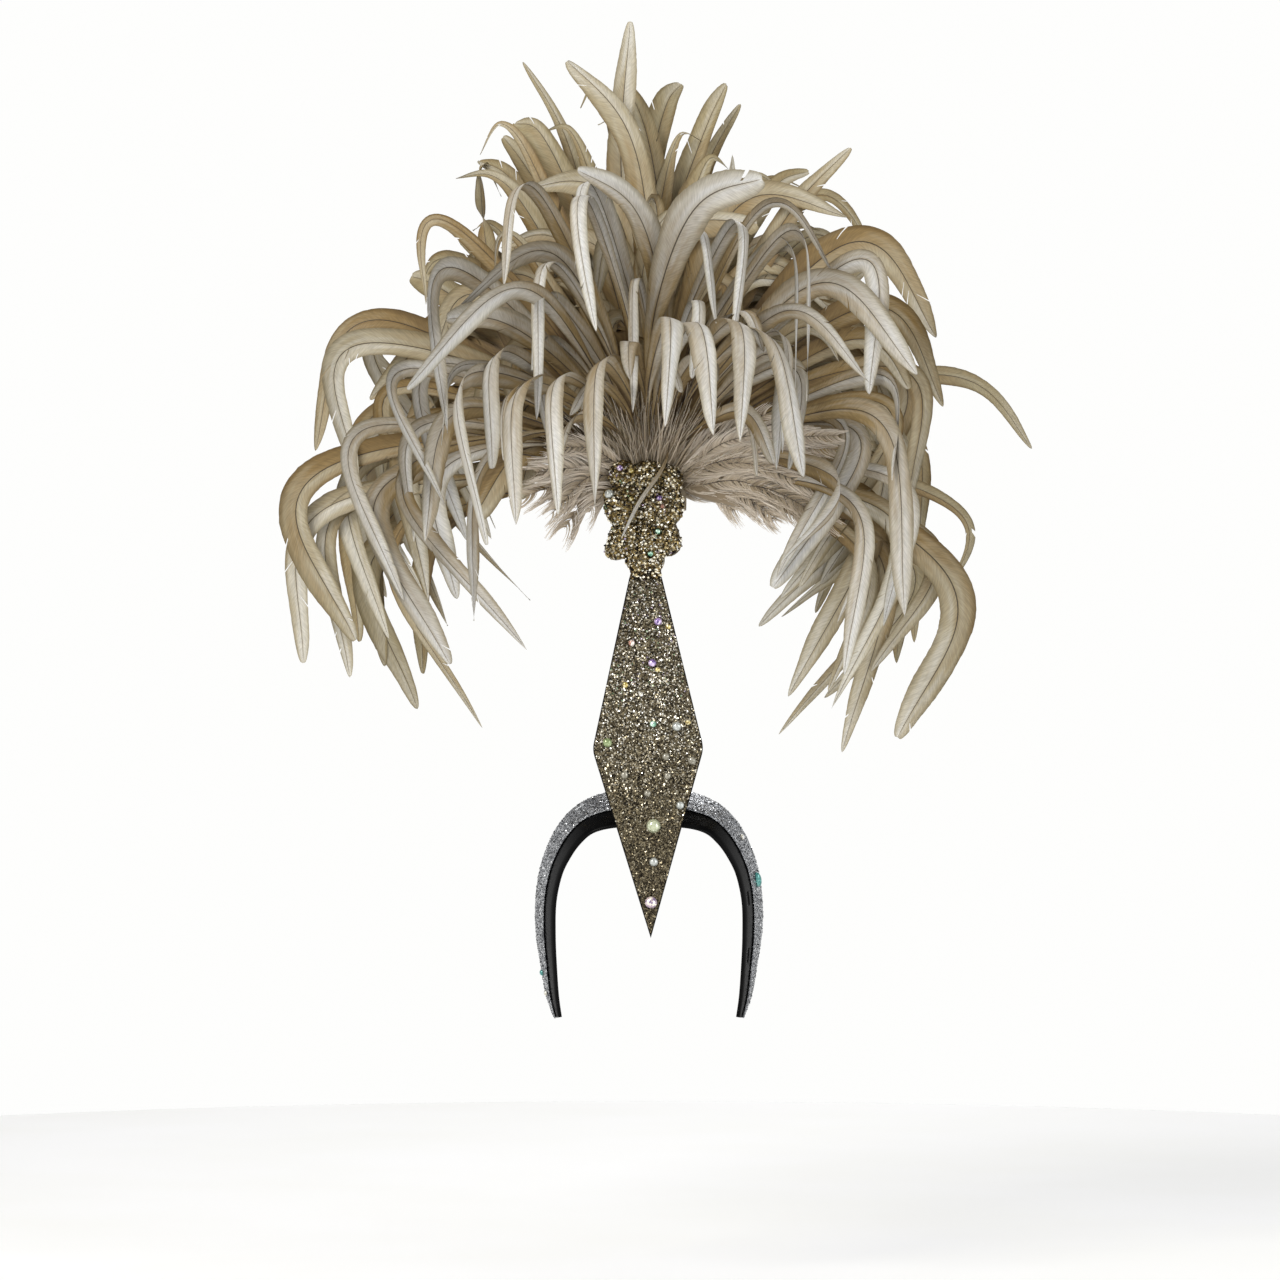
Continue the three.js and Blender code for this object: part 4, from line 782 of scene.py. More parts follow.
QUILL = quill_horn()
DOWN_LOOK = feather_down()
# Painted shade: the rows further back have darker shades, and the back row's cream and white are darkened
# most, against the light that falls on the top of the plume.
VANES = {
    "front": feather_vane("coque_vane_front", "#5a4526", "#927d56", "#b3ada3", "#cbcac8"),
    "middle": feather_vane("coque_vane_middle", "#553f20", "#8d754a", "#aa9f86", "#c8c4ba"),
    "back": feather_vane("coque_vane_back", "#503c1e", "#8a7349", "#9b8f70", "#b8b1a0"),
}


# Headband

def arch_place(limb, along):
    """The front edge at a share of the way from crown to tip, and the way across to the rear edge."""
    at = abs(along) * (len(ARCH) - 1)
    before = min(int(math.floor(at)), len(ARCH) - 2)
    part = at - before
    rows = []
    for index in range(before - 1, before + 3):
        row = ARCH[min(abs(index), len(ARCH) - 1)].copy()
        if index < 0:
            row[[ARCH_COLUMNS.index("across"), ARCH_COLUMNS.index("out")]] *= -1
        rows.append(row)
    p0, p1, p2, p3 = rows
    bend = p3 - p0 + 3 * (p1 - p2)
    row = p1 + 0.5 * part * (p2 - p0 + part * (2 * p0 - 5 * p1 + 4 * p2 - p3 + part * bend))
    across, drop, out, up, depth = row
    z = -drop * BAND_DROP
    front = np.array([limb * across * BAND_SPAN / 2, BAND_FRONT - z * BAND_LEAN, z])
    slope = np.array([limb * out * BAND_FLARE, depth * BAND_DEPTH, up * BAND_RISE])
    return front, slope


def arch_outward(limb, along):
    step = 0.01
    _, slope = arch_place(limb, along)
    ahead, _ = arch_place(limb, min(along + step, 1))
    behind, _ = arch_place(-limb, step) if along < step else arch_place(limb, along - step)
    return limb * unit(np.cross(ahead - behind, slope))


def wall_point(limb, along, across, outside):
    front, slope = arch_place(limb, along)
    bulge = BAND_CROWNING * 4 * across * (1 - across)
    return front + slope * across + arch_outward(limb, along) * (bulge + outside)


def wall_frame(limb, along, across, outside):
    """A place on the wall, and the directions along the limb, across it and straight out of it."""
    step = 0.02
    centre = wall_point(limb, along, across, outside)
    run = unit(wall_point(limb, along + step, across, outside) - centre)
    side = unit(np.cross(arch_outward(limb, along), run))
    return centre, np.array([run, side, np.cross(run, side)])


def rounded_shares(low, high, steps):
    """Places across the wall, with how far each is pulled in to round the edge."""
    nudge = (high - low) * 0.012
    inner = [(low + (high - low) * step / (steps - 1), 0) for step in range(1, steps - 1)]
    return [(low, 1), (low + nudge, 0)] + inner + [(high - nudge, 0), (high, 1)]


def band_wall(shares, inside, outside):
    """The wall as rings round the arch, its edges softly rounded."""
    heap = Heap()
    rings = []
    for step in range(-ARCH_STEPS, ARCH_STEPS + 1):
        limb = -1 if step < 0 else 1
        along = abs(step) / ARCH_STEPS
        outer = [wall_point(limb, along, share, outside - EDGE_ROUNDING * edge) for share, edge in shares]
        inner = [wall_point(limb, along, share, inside + EDGE_ROUNDING * edge) for share, edge in shares]
        rings.append(outer + inner[::-1])
    sides = len(rings[0])
    heap.add(np.array(rings), ring_faces(len(rings), sides))
    near = np.arange(sides // 2)
    for start in (0, (len(rings) - 1) * sides):
        caps = np.stack([near[:-1], near[1:], sides - 2 - near[:-1], sides - 1 - near[:-1]], axis=-1)
        heap.add(np.zeros((0, 3)), caps + start - heap.count)
    return heap


def slot_cutter(limb, along, across, length):
    """A round-ended prism through the wall, its long way along the limb."""
    centre, axes = wall_frame(limb, along, across, 0)
    radius = SLOT_WIDTH / 2
    reach = (length - 1) * radius
    through = 2 * (SHELL_WALL + COVER_WALL)
    turns = np.radians(np.concatenate([np.linspace(-90, 90, 9), np.linspace(90, 270, 9)]))
    ends = np.repeat([reach, -reach], 9)
    count = len(ends)
    points = [centre + np.stack([ends + np.cos(turns) * radius, np.sin(turns) * radius,
                                 np.full(count, height)], axis=-1) @ axes for height in (-through, through)]
    faces = [list(range(count))[::-1], list(range(count, 2 * count))]
    faces += [[i, (i + 1) % count, (i + 1) % count + count, i + count] for i in range(count)]
    mesh = bpy.data.meshes.new("slot_cutter")
    mesh.from_pydata(np.concatenate(points).tolist(), [], faces)
    outward_normals(mesh)
    return mesh


def with_slots(mesh, slots):
    """The wall with the stitching slots cut through it."""
    outward_normals(mesh)
    body = new_object("slotted", mesh)
    cutters = []
    for slot in slots:
        cut = body.modifiers.new("slot", "BOOLEAN")
        cut.operation = "DIFFERENCE"
        cut.solver = "EXACT"
        cut.object = new_object("cutter", slot_cutter(*slot))
        cutters.append(cut.object)
    return applied(body, *cutters)


def band():
    shell = band_wall(rounded_shares(0, 1, 9), -SHELL_WALL, 0).mesh("band_shell_fine")
    shell = with_slots(shell, SLOTS)
    add_piece("band_shell_moulding", shell, [PLASTIC], ["band_shell"])
    shares = rounded_shares(COVER_START, 1 - COVER_MARGIN, 7)
    cover = band_wall(shares, GLUE_GAP, GLUE_GAP + COVER_WALL).mesh("band_cover_fine")
    cover = with_slots(cover, [slot for slot in SLOTS if slot[2] > COVER_START])
    add_piece("band_cover_layer", cover, [SILVER_BASE], ["band_cover"])

    def on_the_outside(places, normals):
        return (normals * unit(places - HOLLOW_MIDDLE)).sum(1) > 0.3
    add_flakes("band", cover, SILVER_CHIPS, on_the_outside)


# Glitter flakes

def scatter_places(mesh, count, random, keep):
    """Places spread evenly over the faces of a mesh that keep allows, with the normal at each."""
    mesh.calc_loop_triangles()
    triangles = np.zeros(len(mesh.loop_triangles) * 3, np.int32)
    mesh.loop_triangles.foreach_get("vertices", triangles)
    places = vertex_places(mesh)
    a, b, c = (places[triangles.reshape(-1, 3)[:, corner]] for corner in range(3))
    cross = np.cross(b - a, c - a)
    areas = np.linalg.norm(cross, axis=1)
    normals = unit(cross)
    areas = np.where(keep((a + b + c) / 3, normals), areas, 0)
    chosen = random.choice(len(areas), count, p=areas / areas.sum())
    u, v = random.random((2, count))
    over = u + v > 1
    u, v = np.where(over, 1 - u, u), np.where(over, 1 - v, v)
    places = a[chosen] + (b - a)[chosen] * u[:, None] + (c - a)[chosen] * v[:, None]
    return places, normals[chosen]


def add_flakes(layer, mesh, look, keep, painted_shade_by_height=None):
    """Six-sided flakes lying on a surface, each tilted its own way. The last argument, if given, takes the
    heights of the flakes and gives how much of their shade each keeps: painted shade by height."""
    count, radii, tilt, lift, seed = FLAKES[layer]
    random = np.random.default_rng(seed)
    places, normals = scatter_places(mesh, count, random, keep)
    steep = np.radians(tilt) * random.standard_normal((count, 1))
    lean = unit(np.cross(normals, random.standard_normal((count, 3))))
    tilted = unit(normals * np.cos(steep) + lean * np.sin(steep))
    side = unit(np.cross(tilted, random.standard_normal((count, 3))))
    other = np.cross(tilted, side)
    radius = random.uniform(*radii, (count, 1)) * MM
    rise = lift + np.abs(np.sin(steep)) * radius * 0.5
    turns = np.arange(6) * math.pi / 3
    points = [places + normals * rise + (side * math.cos(t) + other * math.sin(t)) * radius for t in turns]
    shade = random.random(count)
    # Painted shade by height, where it is asked for: the flakes are darkened as if less light fell there.
    if painted_shade_by_height:
        shade = shade * painted_shade_by_height(places[:, 2])
    heap = Heap()
    heap.add(np.stack(points, axis=1), np.arange(count * 6).reshape(-1, 6), chip=np.repeat(shade, 6))
    name = layer + "_glitter"
    add_piece(name, heap.mesh(name), [look], smooth=False)


# Stones

def facet_rings(size):
    """A cut stone: its girdle, star facets and table, every second point of the upper rings drawn in."""
    height = size * FACET_HEIGHT
    profile = [(0.84, 0), (1, 0.3), (1, 0.38), (0.8, 0.76), (0.56, 1)]
    rings = turned([(share * size / 2, rise * height) for share, rise in profile], 16)
    straight = math.cos(math.pi / 8)  # keeps a point on the straight edge between its neighbours
    rings[3, 1::2] *= [0.97, 0.97, 1]
    rings[4, 1::2] *= [straight, straight, 1]
    return rings


def dome_rings(size, rise, narrowing):
    """A domed stone, a little fuller than an ellipse."""
    steps = np.linspace(0, 0.93, 12) * math.pi / 2
    profile = [(math.cos(s) ** 0.8 * size / 2, math.sin(s) * size * rise) for s in steps]
    return turned(profile, 32) * [1, narrowing, 1]


def stone_form(cut, size):
    """A stone with its flat back on Z = 0."""
    if cut == "facet":
        rings = facet_rings(size)
    elif cut == "dome":
        rings = dome_rings(size, DOME_HEIGHT, 1)
    else:
        rings = dome_rings(size, OVAL_HEIGHT, OVAL_WIDTH)
    sides = rings.shape[1]
    heap = Heap()
    heap.add(rings, ring_faces(len(rings), sides))
    heap.add(rings[-1], np.arange(sides).reshape(1, -1))
    heap.add(rings[0], np.arange(sides)[::-1].reshape(1, -1))
    return heap


GLASS_LOOKS = {}


def glass_look(glass, cut):
    key = (glass, "facet" if cut == "facet" else "dome")
    if key not in GLASS_LOOKS:
        _, dark, main, bright = GLASS[glass]
        GLASS_LOOKS[key] = stone_glass(f"pressed_glass_{glass}_{key[1]}", dark, main, bright, key[1])
    return GLASS_LOOKS[key]


def add_stone(name, cut, size, glass, to_world):
    heap = stone_form(cut, size)
    heap.points = [to_world(points) for points in heap.points]
    mesh = heap.mesh(name + "_cut")
    outward_normals(mesh)
    add_piece(name + "_cut", mesh, [glass_look(glass, cut)], [name], smooth=cut != "facet")


def kite_half_width(share):
    if share < CREST_SHOULDER:
        return CREST_WIDTH / 2 * (share / CREST_SHOULDER)
    above = (share - CREST_SHOULDER) / (1 - CREST_SHOULDER)
    return CREST_WIDTH / 2 * (1 - above) + CREST_NECK_WIDTH / 2 * above


def crest_seat(x, y, z):
    """Puts a stone's flat back on the crest, its table to the front."""
    def place(points):
        local = np.stack([x + points[:, 0], y - points[:, 2], z + points[:, 1]], axis=-1)
        return crest_to_world(local)
    return place


def seat_on_band(centre, axes):
    """Puts a gem's flat back on the band, its table outward."""
    def place(points):
        return centre + points @ axes
    return place


def seat_depth(cut):
    return -MEDALLION_BASE - MEDALLION_RELIEF * (LOW_SEAT if cut == "dome" else HIGH_SEAT)


def stones():
    front = -CREST_WALL - GLUE_GAP - FACING_WALL
    for name, cut, right, up, size_mm, glass in CREST_STONES:
        size = size_mm * MM
        x = right * (kite_half_width(up) - size / 4)
        seat = crest_seat(x, front - GLUE_GAP, CREST_FOOT + up * CREST_LENGTH)
        add_stone("crest_stone_" + name, cut, size, glass, seat)
    for name, cut, right, up, size_mm, glass in MEDALLION_STONES:
        x = right * MEDALLION_WIDTH / 2
        seat = crest_seat(x, seat_depth(cut) - GLUE_GAP, MEDALLION_FOOT + up * MEDALLION_HEIGHT)
        add_stone("medallion_stone_" + name, cut, size_mm * MM, glass, seat)
    for name, limb, along, across, size_mm, cut, glass in BAND_GEMS:
        seat = seat_on_band(*wall_frame(limb, along, across, 2 * GLUE_GAP + COVER_WALL))
        add_stone("band_gem_" + name, cut, size_mm * MM, glass, seat)


# Crest and medallion

def give_look(node_name, look):
    slots = NODES[node_name].data.materials
    if len(slots) == 0:
        slots.append(look)
    for index in range(len(slots)):
        slots[index] = look


def crest():
    for name in ("crest_plate", "support_post"):
        give_look(name, PLASTIC)
    give_look("crest_facing", CHAMPAGNE_BASE)
    point, shoulder = -CREST_BELOW, -CREST_BELOW + CREST_SHOULDER * CREST_LENGTH

    # Painted shade: the flakes are painted darker toward the plate's point, as if less light fell on the
    # lower plate.
    def painted_shade_to_the_point(heights):
        return 0.64 + 0.36 * smooth_step(heights, point, shoulder + 60 * MM)

    def on_the_front(_, normals):
        return normals @ CREST_FACES > 0.9
    add_flakes("crest", NODES["crest_facing"].data, CHAMPAGNE_CHIPS, on_the_front,
               painted_shade_to_the_point)


def add_lobe(work, right, up, wide, tall, out):
    """A lobe of the casting: half a ball to the front, and a straight-sided foot down to the flat back."""
    centre = np.array([right * MEDALLION_WIDTH / 2, -MEDALLION_BASE, MEDALLION_FOOT + up * MEDALLION_HEIGHT])
    size = np.array([wide * MEDALLION_WIDTH / 2, MEDALLION_RELIEF * out, tall * MEDALLION_HEIGHT / 2])
    for vertex in bmesh.ops.create_icosphere(work, subdivisions=4, radius=1)["verts"]:
        place = np.array(vertex.co)
        if place[1] > 0:
            edge = math.hypot(place[0], place[2])
            grow = 1 / max(edge, 1e-6) if edge > 0.6 else 1
            place = np.array([place[0] * grow * size[0], MEDALLION_BASE * min(1, 2 * place[1]),
                              place[2] * grow * size[2]])
        else:
            place = place * size
        vertex.co = Vector(centre + place)


def add_boss(work, seat, radius):
    """A round boss from the casting's back up to the seat of a stone."""
    made = bmesh.ops.create_cone(work, cap_ends=True, segments=32, radius1=radius, radius2=radius,
                                 depth=-seat[1])
    for vertex in made["verts"]:
        x, y, z = vertex.co
        vertex.co = Vector((seat[0] + x, seat[1] / 2 + z, seat[2] + y))


def melted(work):
    """The lobes and bosses as one skin."""
    mesh = bpy.data.meshes.new("medallion_lobes")
    work.to_mesh(mesh)
    work.free()
    body = new_object("medallion_lobes", mesh)
    melt = body.modifiers.new("melt", "REMESH")
    melt.mode = "VOXEL"
    melt.voxel_size = 0.7 * MM
    body.modifiers.new("soften", "SMOOTH").iterations = 4
    return applied(body)


def groove_depth(points):
    """How deep the slanting groove down the middle is at each point, with soft ends and sides."""
    depth, soft_end = 2.4 * MM, 4 * MM
    up = points[:, 2] - MEDALLION_FOOT - MEDALLION_HEIGHT / 2
    beside = np.abs(points[:, 0] + GROOVE_WIDTH - np.tan(GROOVE_TILT) * up)
    inside = smooth_step(GROOVE_LENGTH / 2 - np.abs(up), 0, soft_end)
    return depth * inside * (1 - smooth_step(beside, 0.3 * GROOVE_WIDTH, 0.9 * GROOVE_WIDTH))


def medallion():
    """The lobed casting, melted together by a fine remesh, with its groove, seats, flakes and beads."""
    work = bmesh.new()
    for lobe in LOBES:
        add_lobe(work, *lobe)
    seats = np.array([[right * MEDALLION_WIDTH / 2, seat_depth(cut), MEDALLION_FOOT + up * MEDALLION_HEIGHT]
                      for _, cut, right, up, _, _ in MEDALLION_STONES])
    radii = np.array([stone[4] * MM / 2 + SEAT_RIM for stone in MEDALLION_STONES])
    for seat, radius in zip(seats, radii):
        add_boss(work, seat, radius)
    casting = melted(work)
    points = vertex_places(casting)
    points[:, 1] += np.where(points[:, 1] < -MEDALLION_BASE, groove_depth(points), 0)
    for seat, radius in zip(seats, radii):
        away = np.hypot(points[:, 0] - seat[0], points[:, 2] - seat[2])
        points[(away < radius) & (points[:, 1] < -MEDALLION_BASE / 2), 1] = seat[1]
    casting.vertices.foreach_set("co", crest_to_world(points).astype(np.float32).ravel())
    casting.update()
    add_piece("medallion_casting", casting, [BRONZE], ["medallion"])
    stone_places = crest_to_world(seats)

    def clear_of_stones(places):
        away = np.linalg.norm(places[:, None] - stone_places[None], axis=2)
        return (away > radii[None]).all(axis=1)

    def on_the_front(places, normals):
        return (normals @ CREST_FACES > 0.15) & clear_of_stones(places)
    add_flakes("medallion", casting, CHAMPAGNE_CHIPS, on_the_front)
    beads(casting, clear_of_stones)


def neck_places(count, random):
    """Places for the beads that hide the joint between the medallion's foot and the crest's neck."""
    margin, fullness = 1 * MM, 1.4 * MM
    across = random.uniform(-1, 1, count) * (CREST_NECK_WIDTH / 2 - margin)
    up = MEDALLION_FOOT + random.uniform(-4.5, 3.5, count) * MM
    bulge = 1 - (2 * across / CREST_NECK_WIDTH) ** 2
    front = -CREST_WALL - FACING_WALL - 2 * GLUE_GAP - fullness * bulge
    return crest_to_world(np.stack([across, front, up], axis=-1))


def beads(casting, clear_of_stones):
    """Small set beads all over the front of the casting and over its neck, each a dome of five rings."""
    random = np.random.default_rng(BEAD_SEED)
    places, normals = scatter_places(casting, CASTING_BEADS, random, lambda at, normal: (
        normal @ CREST_FACES > 0.05) & clear_of_stones(at))
    places = np.concatenate([places, neck_places(NECK_BEADS, random)])
    normals = np.concatenate([normals, np.broadcast_to(CREST_FACES, (NECK_BEADS, 3))])
    # The casting's beads lean to bright shades; the neck's beads are painted darker, as painted shade.
    shade_spread_and_painted_neck_shade = np.repeat([BEAD_SHINE, NECK_PAINTED_SHADE], [CASTING_BEADS, NECK_BEADS])
    radii = random.uniform(*BEAD_RADII, len(places))
    rings, sides = 5, 8
    steps = np.linspace(-0.5, 1, rings) * math.pi / 2
    heap = Heap()
    for place, normal, radius, shade in zip(places, normals, radii, random.random(len(places)) ** shade_spread_and_painted_neck_shade):
        side = unit(np.cross(normal, CREST_FACES + [0.3, 0.2, 0.9]))
        axes = np.array([side, np.cross(normal, side), normal])
        form = turned([(math.cos(s) * radius + 1e-6, math.sin(s) * radius * 0.8) for s in steps], sides)
        heap.add(place + form @ axes, ring_faces(rings, sides), chip=shade)
    add_piece("medallion_beads", heap.mesh("medallion_beads"), [BEAD_SHADES])


# Plume

def stem_points(controls, shares):
    """Places along a smooth stem through the control points, evenly spaced in their order."""
    controls = np.asarray(controls, float)
    last = len(controls) - 1
    ends = [2 * controls[0] - controls[1], 2 * controls[-1] - controls[-2]]
    padded = np.vstack([ends[0], controls, ends[1]])
    at = np.clip(np.asarray(shares) * last, 0, last)
    first = np.minimum(np.floor(at).astype(int), last - 1)
    part = (at - first)[:, None]
    p0, p1, p2, p3 = (padded[first + step] for step in range(4))

    def gap(a, b):
        return np.maximum(np.sum((a - b) ** 2, axis=1, keepdims=True) ** 0.25, 1e-4)
    g0, g1, g2 = gap(p0, p1), gap(p1, p2), gap(p2, p3)
    t1 = ((p1 - p0) / g0 - (p2 - p0) / (g0 + g1) + (p2 - p1) / g1) * g1
    t2 = ((p2 - p1) / g1 - (p3 - p1) / (g1 + g2) + (p3 - p2) / g2) * g1
    return (p1 + t1 * part + (-3 * p1 + 3 * p2 - 2 * t1 - t2) * part ** 2
            + (2 * p1 - 2 * p2 + t1 + t2) * part ** 3)


def backing_middle(order):
    return POST_WALL + 2 * GLUE_GAP + order * (BACKING_WALL + GLUE_GAP) + BACKING_WALL / 2


def leaning(x, y, z):
    return crest_to_world(np.array([x, y, z]), roll=False)


def stem_controls(feather, order):
    """Root in the backing, middle, peak and tip, as in the solids."""
    hub = leaning(0, backing_middle(order), HUB_UP)
    root_x = np.clip(feather["peakX"] * ROOT_FANNING, -1, 1) * ROOT_SPREAD * BACKING_WIDTH / 2
    root_z = (0 if feather["peakZ"] < 0 else ROOT_SPREAD) * BACKING_HEIGHT / 2
    root = leaning(root_x, backing_middle(order), HUB_UP + root_z)

    def place(x, z, depth):
        return np.array([x * PLUME_REACH, root[1] + depth * PLUME_REACH, hub[2] + z * PLUME_REACH])
    peak = place(feather["peakX"], feather["peakZ"], feather["depth"] * PEAK_DEPTH)
    tip = place(feather["tipX"], feather["tipZ"], feather["depth"])
    chord = peak - root
    side = 1 if feather["peakX"] < 0 else -1
    upper = unit(np.array([side * abs(chord[2]), 0, abs(chord[0])]))
    middle = (root + peak) / 2 + upper * feather["bow"] * np.linalg.norm(chord)
    middle[1] = root[1] + (peak[1] - root[1]) * RISE_FIRST
    return [root, middle, peak, tip]


def lengths_along(path):
    return np.concatenate([[0], np.cumsum(np.linalg.norm(np.diff(path, axis=0), axis=1))])


def at_lengths(values, travel, places):
    """Values along a stem, read at the given lengths."""
    return np.stack([np.interp(places, travel, values[:, axis]) for axis in range(3)], axis=-1)


def eased(path, peak):
    """The stem in even steps with its bend softened into a sickle, and its peak kept where it was."""
    travel = lengths_along(path)
    path = at_lengths(path, travel, np.linspace(0, travel[-1], FINE_STEPS))
    steps = np.arange(-EASE_SPAN, EASE_SPAN + 1)
    weights = np.exp(-0.5 * (steps * 2 / EASE_SPAN) ** 2)
    weights = weights / weights.sum()
    before = 2 * path[0] - path[EASE_SPAN:0:-1]
    after = 2 * path[-1] - path[-2:-EASE_SPAN - 2:-1]
    long = np.vstack([before, path, after])
    soft = np.stack([np.convolve(long[:, axis], weights, "valid") for axis in range(3)], axis=-1)
    top = int(np.argmin(np.linalg.norm(path - peak, axis=1)))
    near_top = np.exp(-0.5 * ((np.arange(FINE_STEPS) - top) / (1.5 * EASE_SPAN)) ** 2)
    near_top = near_top * smooth_step(FINE_STEPS - 1 - np.arange(FINE_STEPS), 0, EASE_SPAN)
    return soft + (path[top] - soft[top]) * near_top[:, None]


def curled_in(path, curl):
    """The stem with the end of its hanging part curled toward the middle of the plume."""
    hanging = max(0.0, unit(path[-2] - path[-1])[2])
    aside = np.array([-math.copysign(1, path[-1][0]), 0, 0]) * hanging * curl * lengths_along(path)[-1]
    return path + aside * np.linspace(0, 1, len(path))[:, None] ** 3


def carried(runs):
    """The directions across a stem, carried along it without twisting."""
    across = np.array([runs[0][2], 0, -runs[0][0]])
    out = np.empty_like(runs)
    for row, run in enumerate(runs):
        across = across - run * np.dot(across, run)
        across = across / max(np.linalg.norm(across), 1e-9)
        out[row] = across
    return out


def faced_out(across, runs, shares, roll):
    """The across directions, rolled so that the hanging part shows more of its face to the front."""
    outward = np.cross(runs, [0, 1, 0])
    outward = outward * math.copysign(1, across[-1] @ outward[-1])
    rolled = unit(across + (outward - across) * (roll * smooth_step(shares, 0.35, 0.8))[:, None])
    return unit(rolled - runs * (rolled * runs).sum(axis=1)[:, None])


def twisted(across, faces, turn):
    """The directions across a blade and out of its face, turned about the stem."""
    cos, sin = np.cos(turn)[:, None], np.sin(turn)[:, None]
    return across * cos + faces * sin, faces * cos - across * sin


def vane_share(share, full, pointed):
    """How wide the vane is along its length: bare quill, fullest at one place, then drawn in to the tip. The
    more pointed it is, the earlier and the straighter it is drawn in."""
    bare, least = 0.05, 0.1
    opening = smooth_step(share, bare, full)
    closing = np.clip((share - full) / (1 - full), 0, 1)
    closing = (1 - closing ** (3.0 - 0.8 * pointed)) ** (0.5 + 0.35 * pointed)
    return np.maximum(least, opening) * closing


def tip_taper(path, shares, peak, width, random):
    """How pointed a feather is: a draw, and fixed values for one that stands up or bends late."""
    top = np.linalg.norm(path - peak, axis=1).argmin()
    pointed = random.uniform(*TAPER) * np.clip(1.7 - 0.7 * width / BLADE_WIDTH, 0.1, 1.1)
    if path[-1][2] > path[top][2]:
        return UPRIGHT_TAPER
    return HOOK_TAPER if shares[top] > LATE_PEAK else pointed


def add_quill(heap, stem, travel, count, width, pale):
    """The shaft, thinner toward the tip. stem is the path with the directions across and out of the blade."""
    shares = np.linspace(0, 0.985, count)
    thick = QUILL_RADIUS - QUILL_THINNING * smooth_step(shares, 0.0, 0.5)
    thick = thick * (1 - 0.3 * smooth_step(shares, 0.6, 1.0)) * math.sqrt(width / BLADE_WIDTH)
    centre, beside, ahead = (at_lengths(values, travel, shares * travel[-1]) for values in stem)
    heap.add(tube(centre, beside, ahead, QUILL_SIDES, thick, thick), ring_faces(count, QUILL_SIDES),
             look=QUILL_LOOK, along=np.repeat(shares, QUILL_SIDES), pale=pale)


def add_feather(heap, controls, width, pale, random, full, pitch, columns, curl):
    """One feather: two cupped vanes of slanting barbs, now and then with a split, and a tapering quill."""
    path = eased(stem_points(controls, np.linspace(0, 1, FINE_STEPS)), controls[2])
    path = curled_in(path, random.uniform(*curl))
    travel = lengths_along(path)
    length = travel[-1]
    shares = travel / length
    runs = unit(np.gradient(path, travel, axis=0))
    across = faced_out(carried(runs), runs, shares, random.uniform(*FACE_OUT))
    twist = math.radians(random.normal(0, TWIST))
    across, faces = twisted(across, np.cross(runs, across), twist * shares ** 1.5)
    bending = (np.gradient(runs, travel, axis=0) * across).sum(axis=1)

    def along_stem(values, travelled):
        return at_lengths(values, travel, travelled)

    pointed = tip_taper(path, shares, controls[2], width, random)
    full = random.uniform(*full)
    rows = max(14, int(length / pitch))
    cup = random.uniform(*CUP)
    wave = random.uniform(0, 2 * math.pi)
    # One vane painted paler and the other darker: painted light and shade.
    painted_vane_light = random.choice([-1, 1]) * random.uniform(*PAINTED_VANE_LIGHT)
    out = np.linspace(0, 1, columns)[None, :]
    for side in (-1, 1):
        # Where the barbs leave the quill, with two of them close together at each split
        roots = np.linspace(0.03, 1, rows) * length
        splits = random.integers(int(rows * 0.4), rows - 6, random.integers(0, MOST_SPLITS + 1))
        for split in splits:
            roots[split + 1] = roots[split] + 0.12 * pitch
        # How far each barb reaches out
        share = roots / length
        uneven = 1 + UNEVEN * random.uniform(-1, 1)
        ragged = (1 + 0.04 * np.sin(share * 31 + wave) + 0.05 * np.sin(share * 13 + 2 * wave + side)
                  + random.normal(0, 0.01, rows))
        half = width / 2 * vane_share(share, full, pointed) * uneven * ragged
        inward = np.maximum(np.interp(roots, travel, bending) * side, 1e-6)
        half = np.minimum(half, TIGHTEST_BEND / inward)
        # The points of the barbs, which slant towards the tip and curl away at their ends
        travelled = roots[:, None] + out * half[:, None] * VANE_SWEEP
        beyond = np.maximum(travelled - length, 0)
        centre = along_stem(path, travelled) + runs[-1] * beyond[..., None]
        ripple = RIPPLE * width * np.sin(share * 17 + wave + side)[:, None] * out ** 2
        drop = cup * half[:, None] * out ** 2 + ripple
        points = (centre + along_stem(across, travelled) * (side * out * half[:, None])[..., None]
                  - along_stem(faces, travelled) * drop[..., None])
        # The splits, where the vane is open and the barbs beyond are pushed ahead
        cells = np.ones((rows - 1, columns - 1), bool)
        for split in splits:
            start = random.integers(1, columns - 1)
            cells[split, start:] = False
            parted = np.exp(-np.arange(rows - split - 1) / 2.5)[:, None] * np.clip(out * 1.6 - 0.6, 0, 1)
            ahead = along_stem(runs, travelled[split + 1:])
            points[split + 1:] += (random.uniform(*SPLIT_WIDTH) * parted)[..., None] * ahead
        quads = grid_faces(rows, columns)[cells.ravel()]
        wide = np.tile(out.ravel(), rows)
        heap.add(points, quads if side > 0 else quads[:, ::-1],
                 along=np.repeat(share, columns),
                 across=side * wide * 3 + random.uniform(0, 60),
                 barb=np.repeat(roots / BARB_UNIT, columns),
                 middle=wide,
                 pale=pale + painted_vane_light * side)
    add_quill(heap, (path, across, faces), travel, max(10, rows // 2), width, pale)


def outline_reach(angle):
    return np.interp(angle, OUTLINE_ANGLES, OUTLINE_REACH)


def scatter(seed, draw):
    """A number from 0 to 1 that is always the same for the same seed and draw, as in the solids."""
    return (math.sin(seed * 12.9898 + draw * 78.233 + 4.1414) * 43758.5453) % 1


def around(angle, reach):
    """Right and up from the hub, at an angle in degrees."""
    return math.cos(math.radians(angle)) * reach, math.sin(math.radians(angle)) * reach


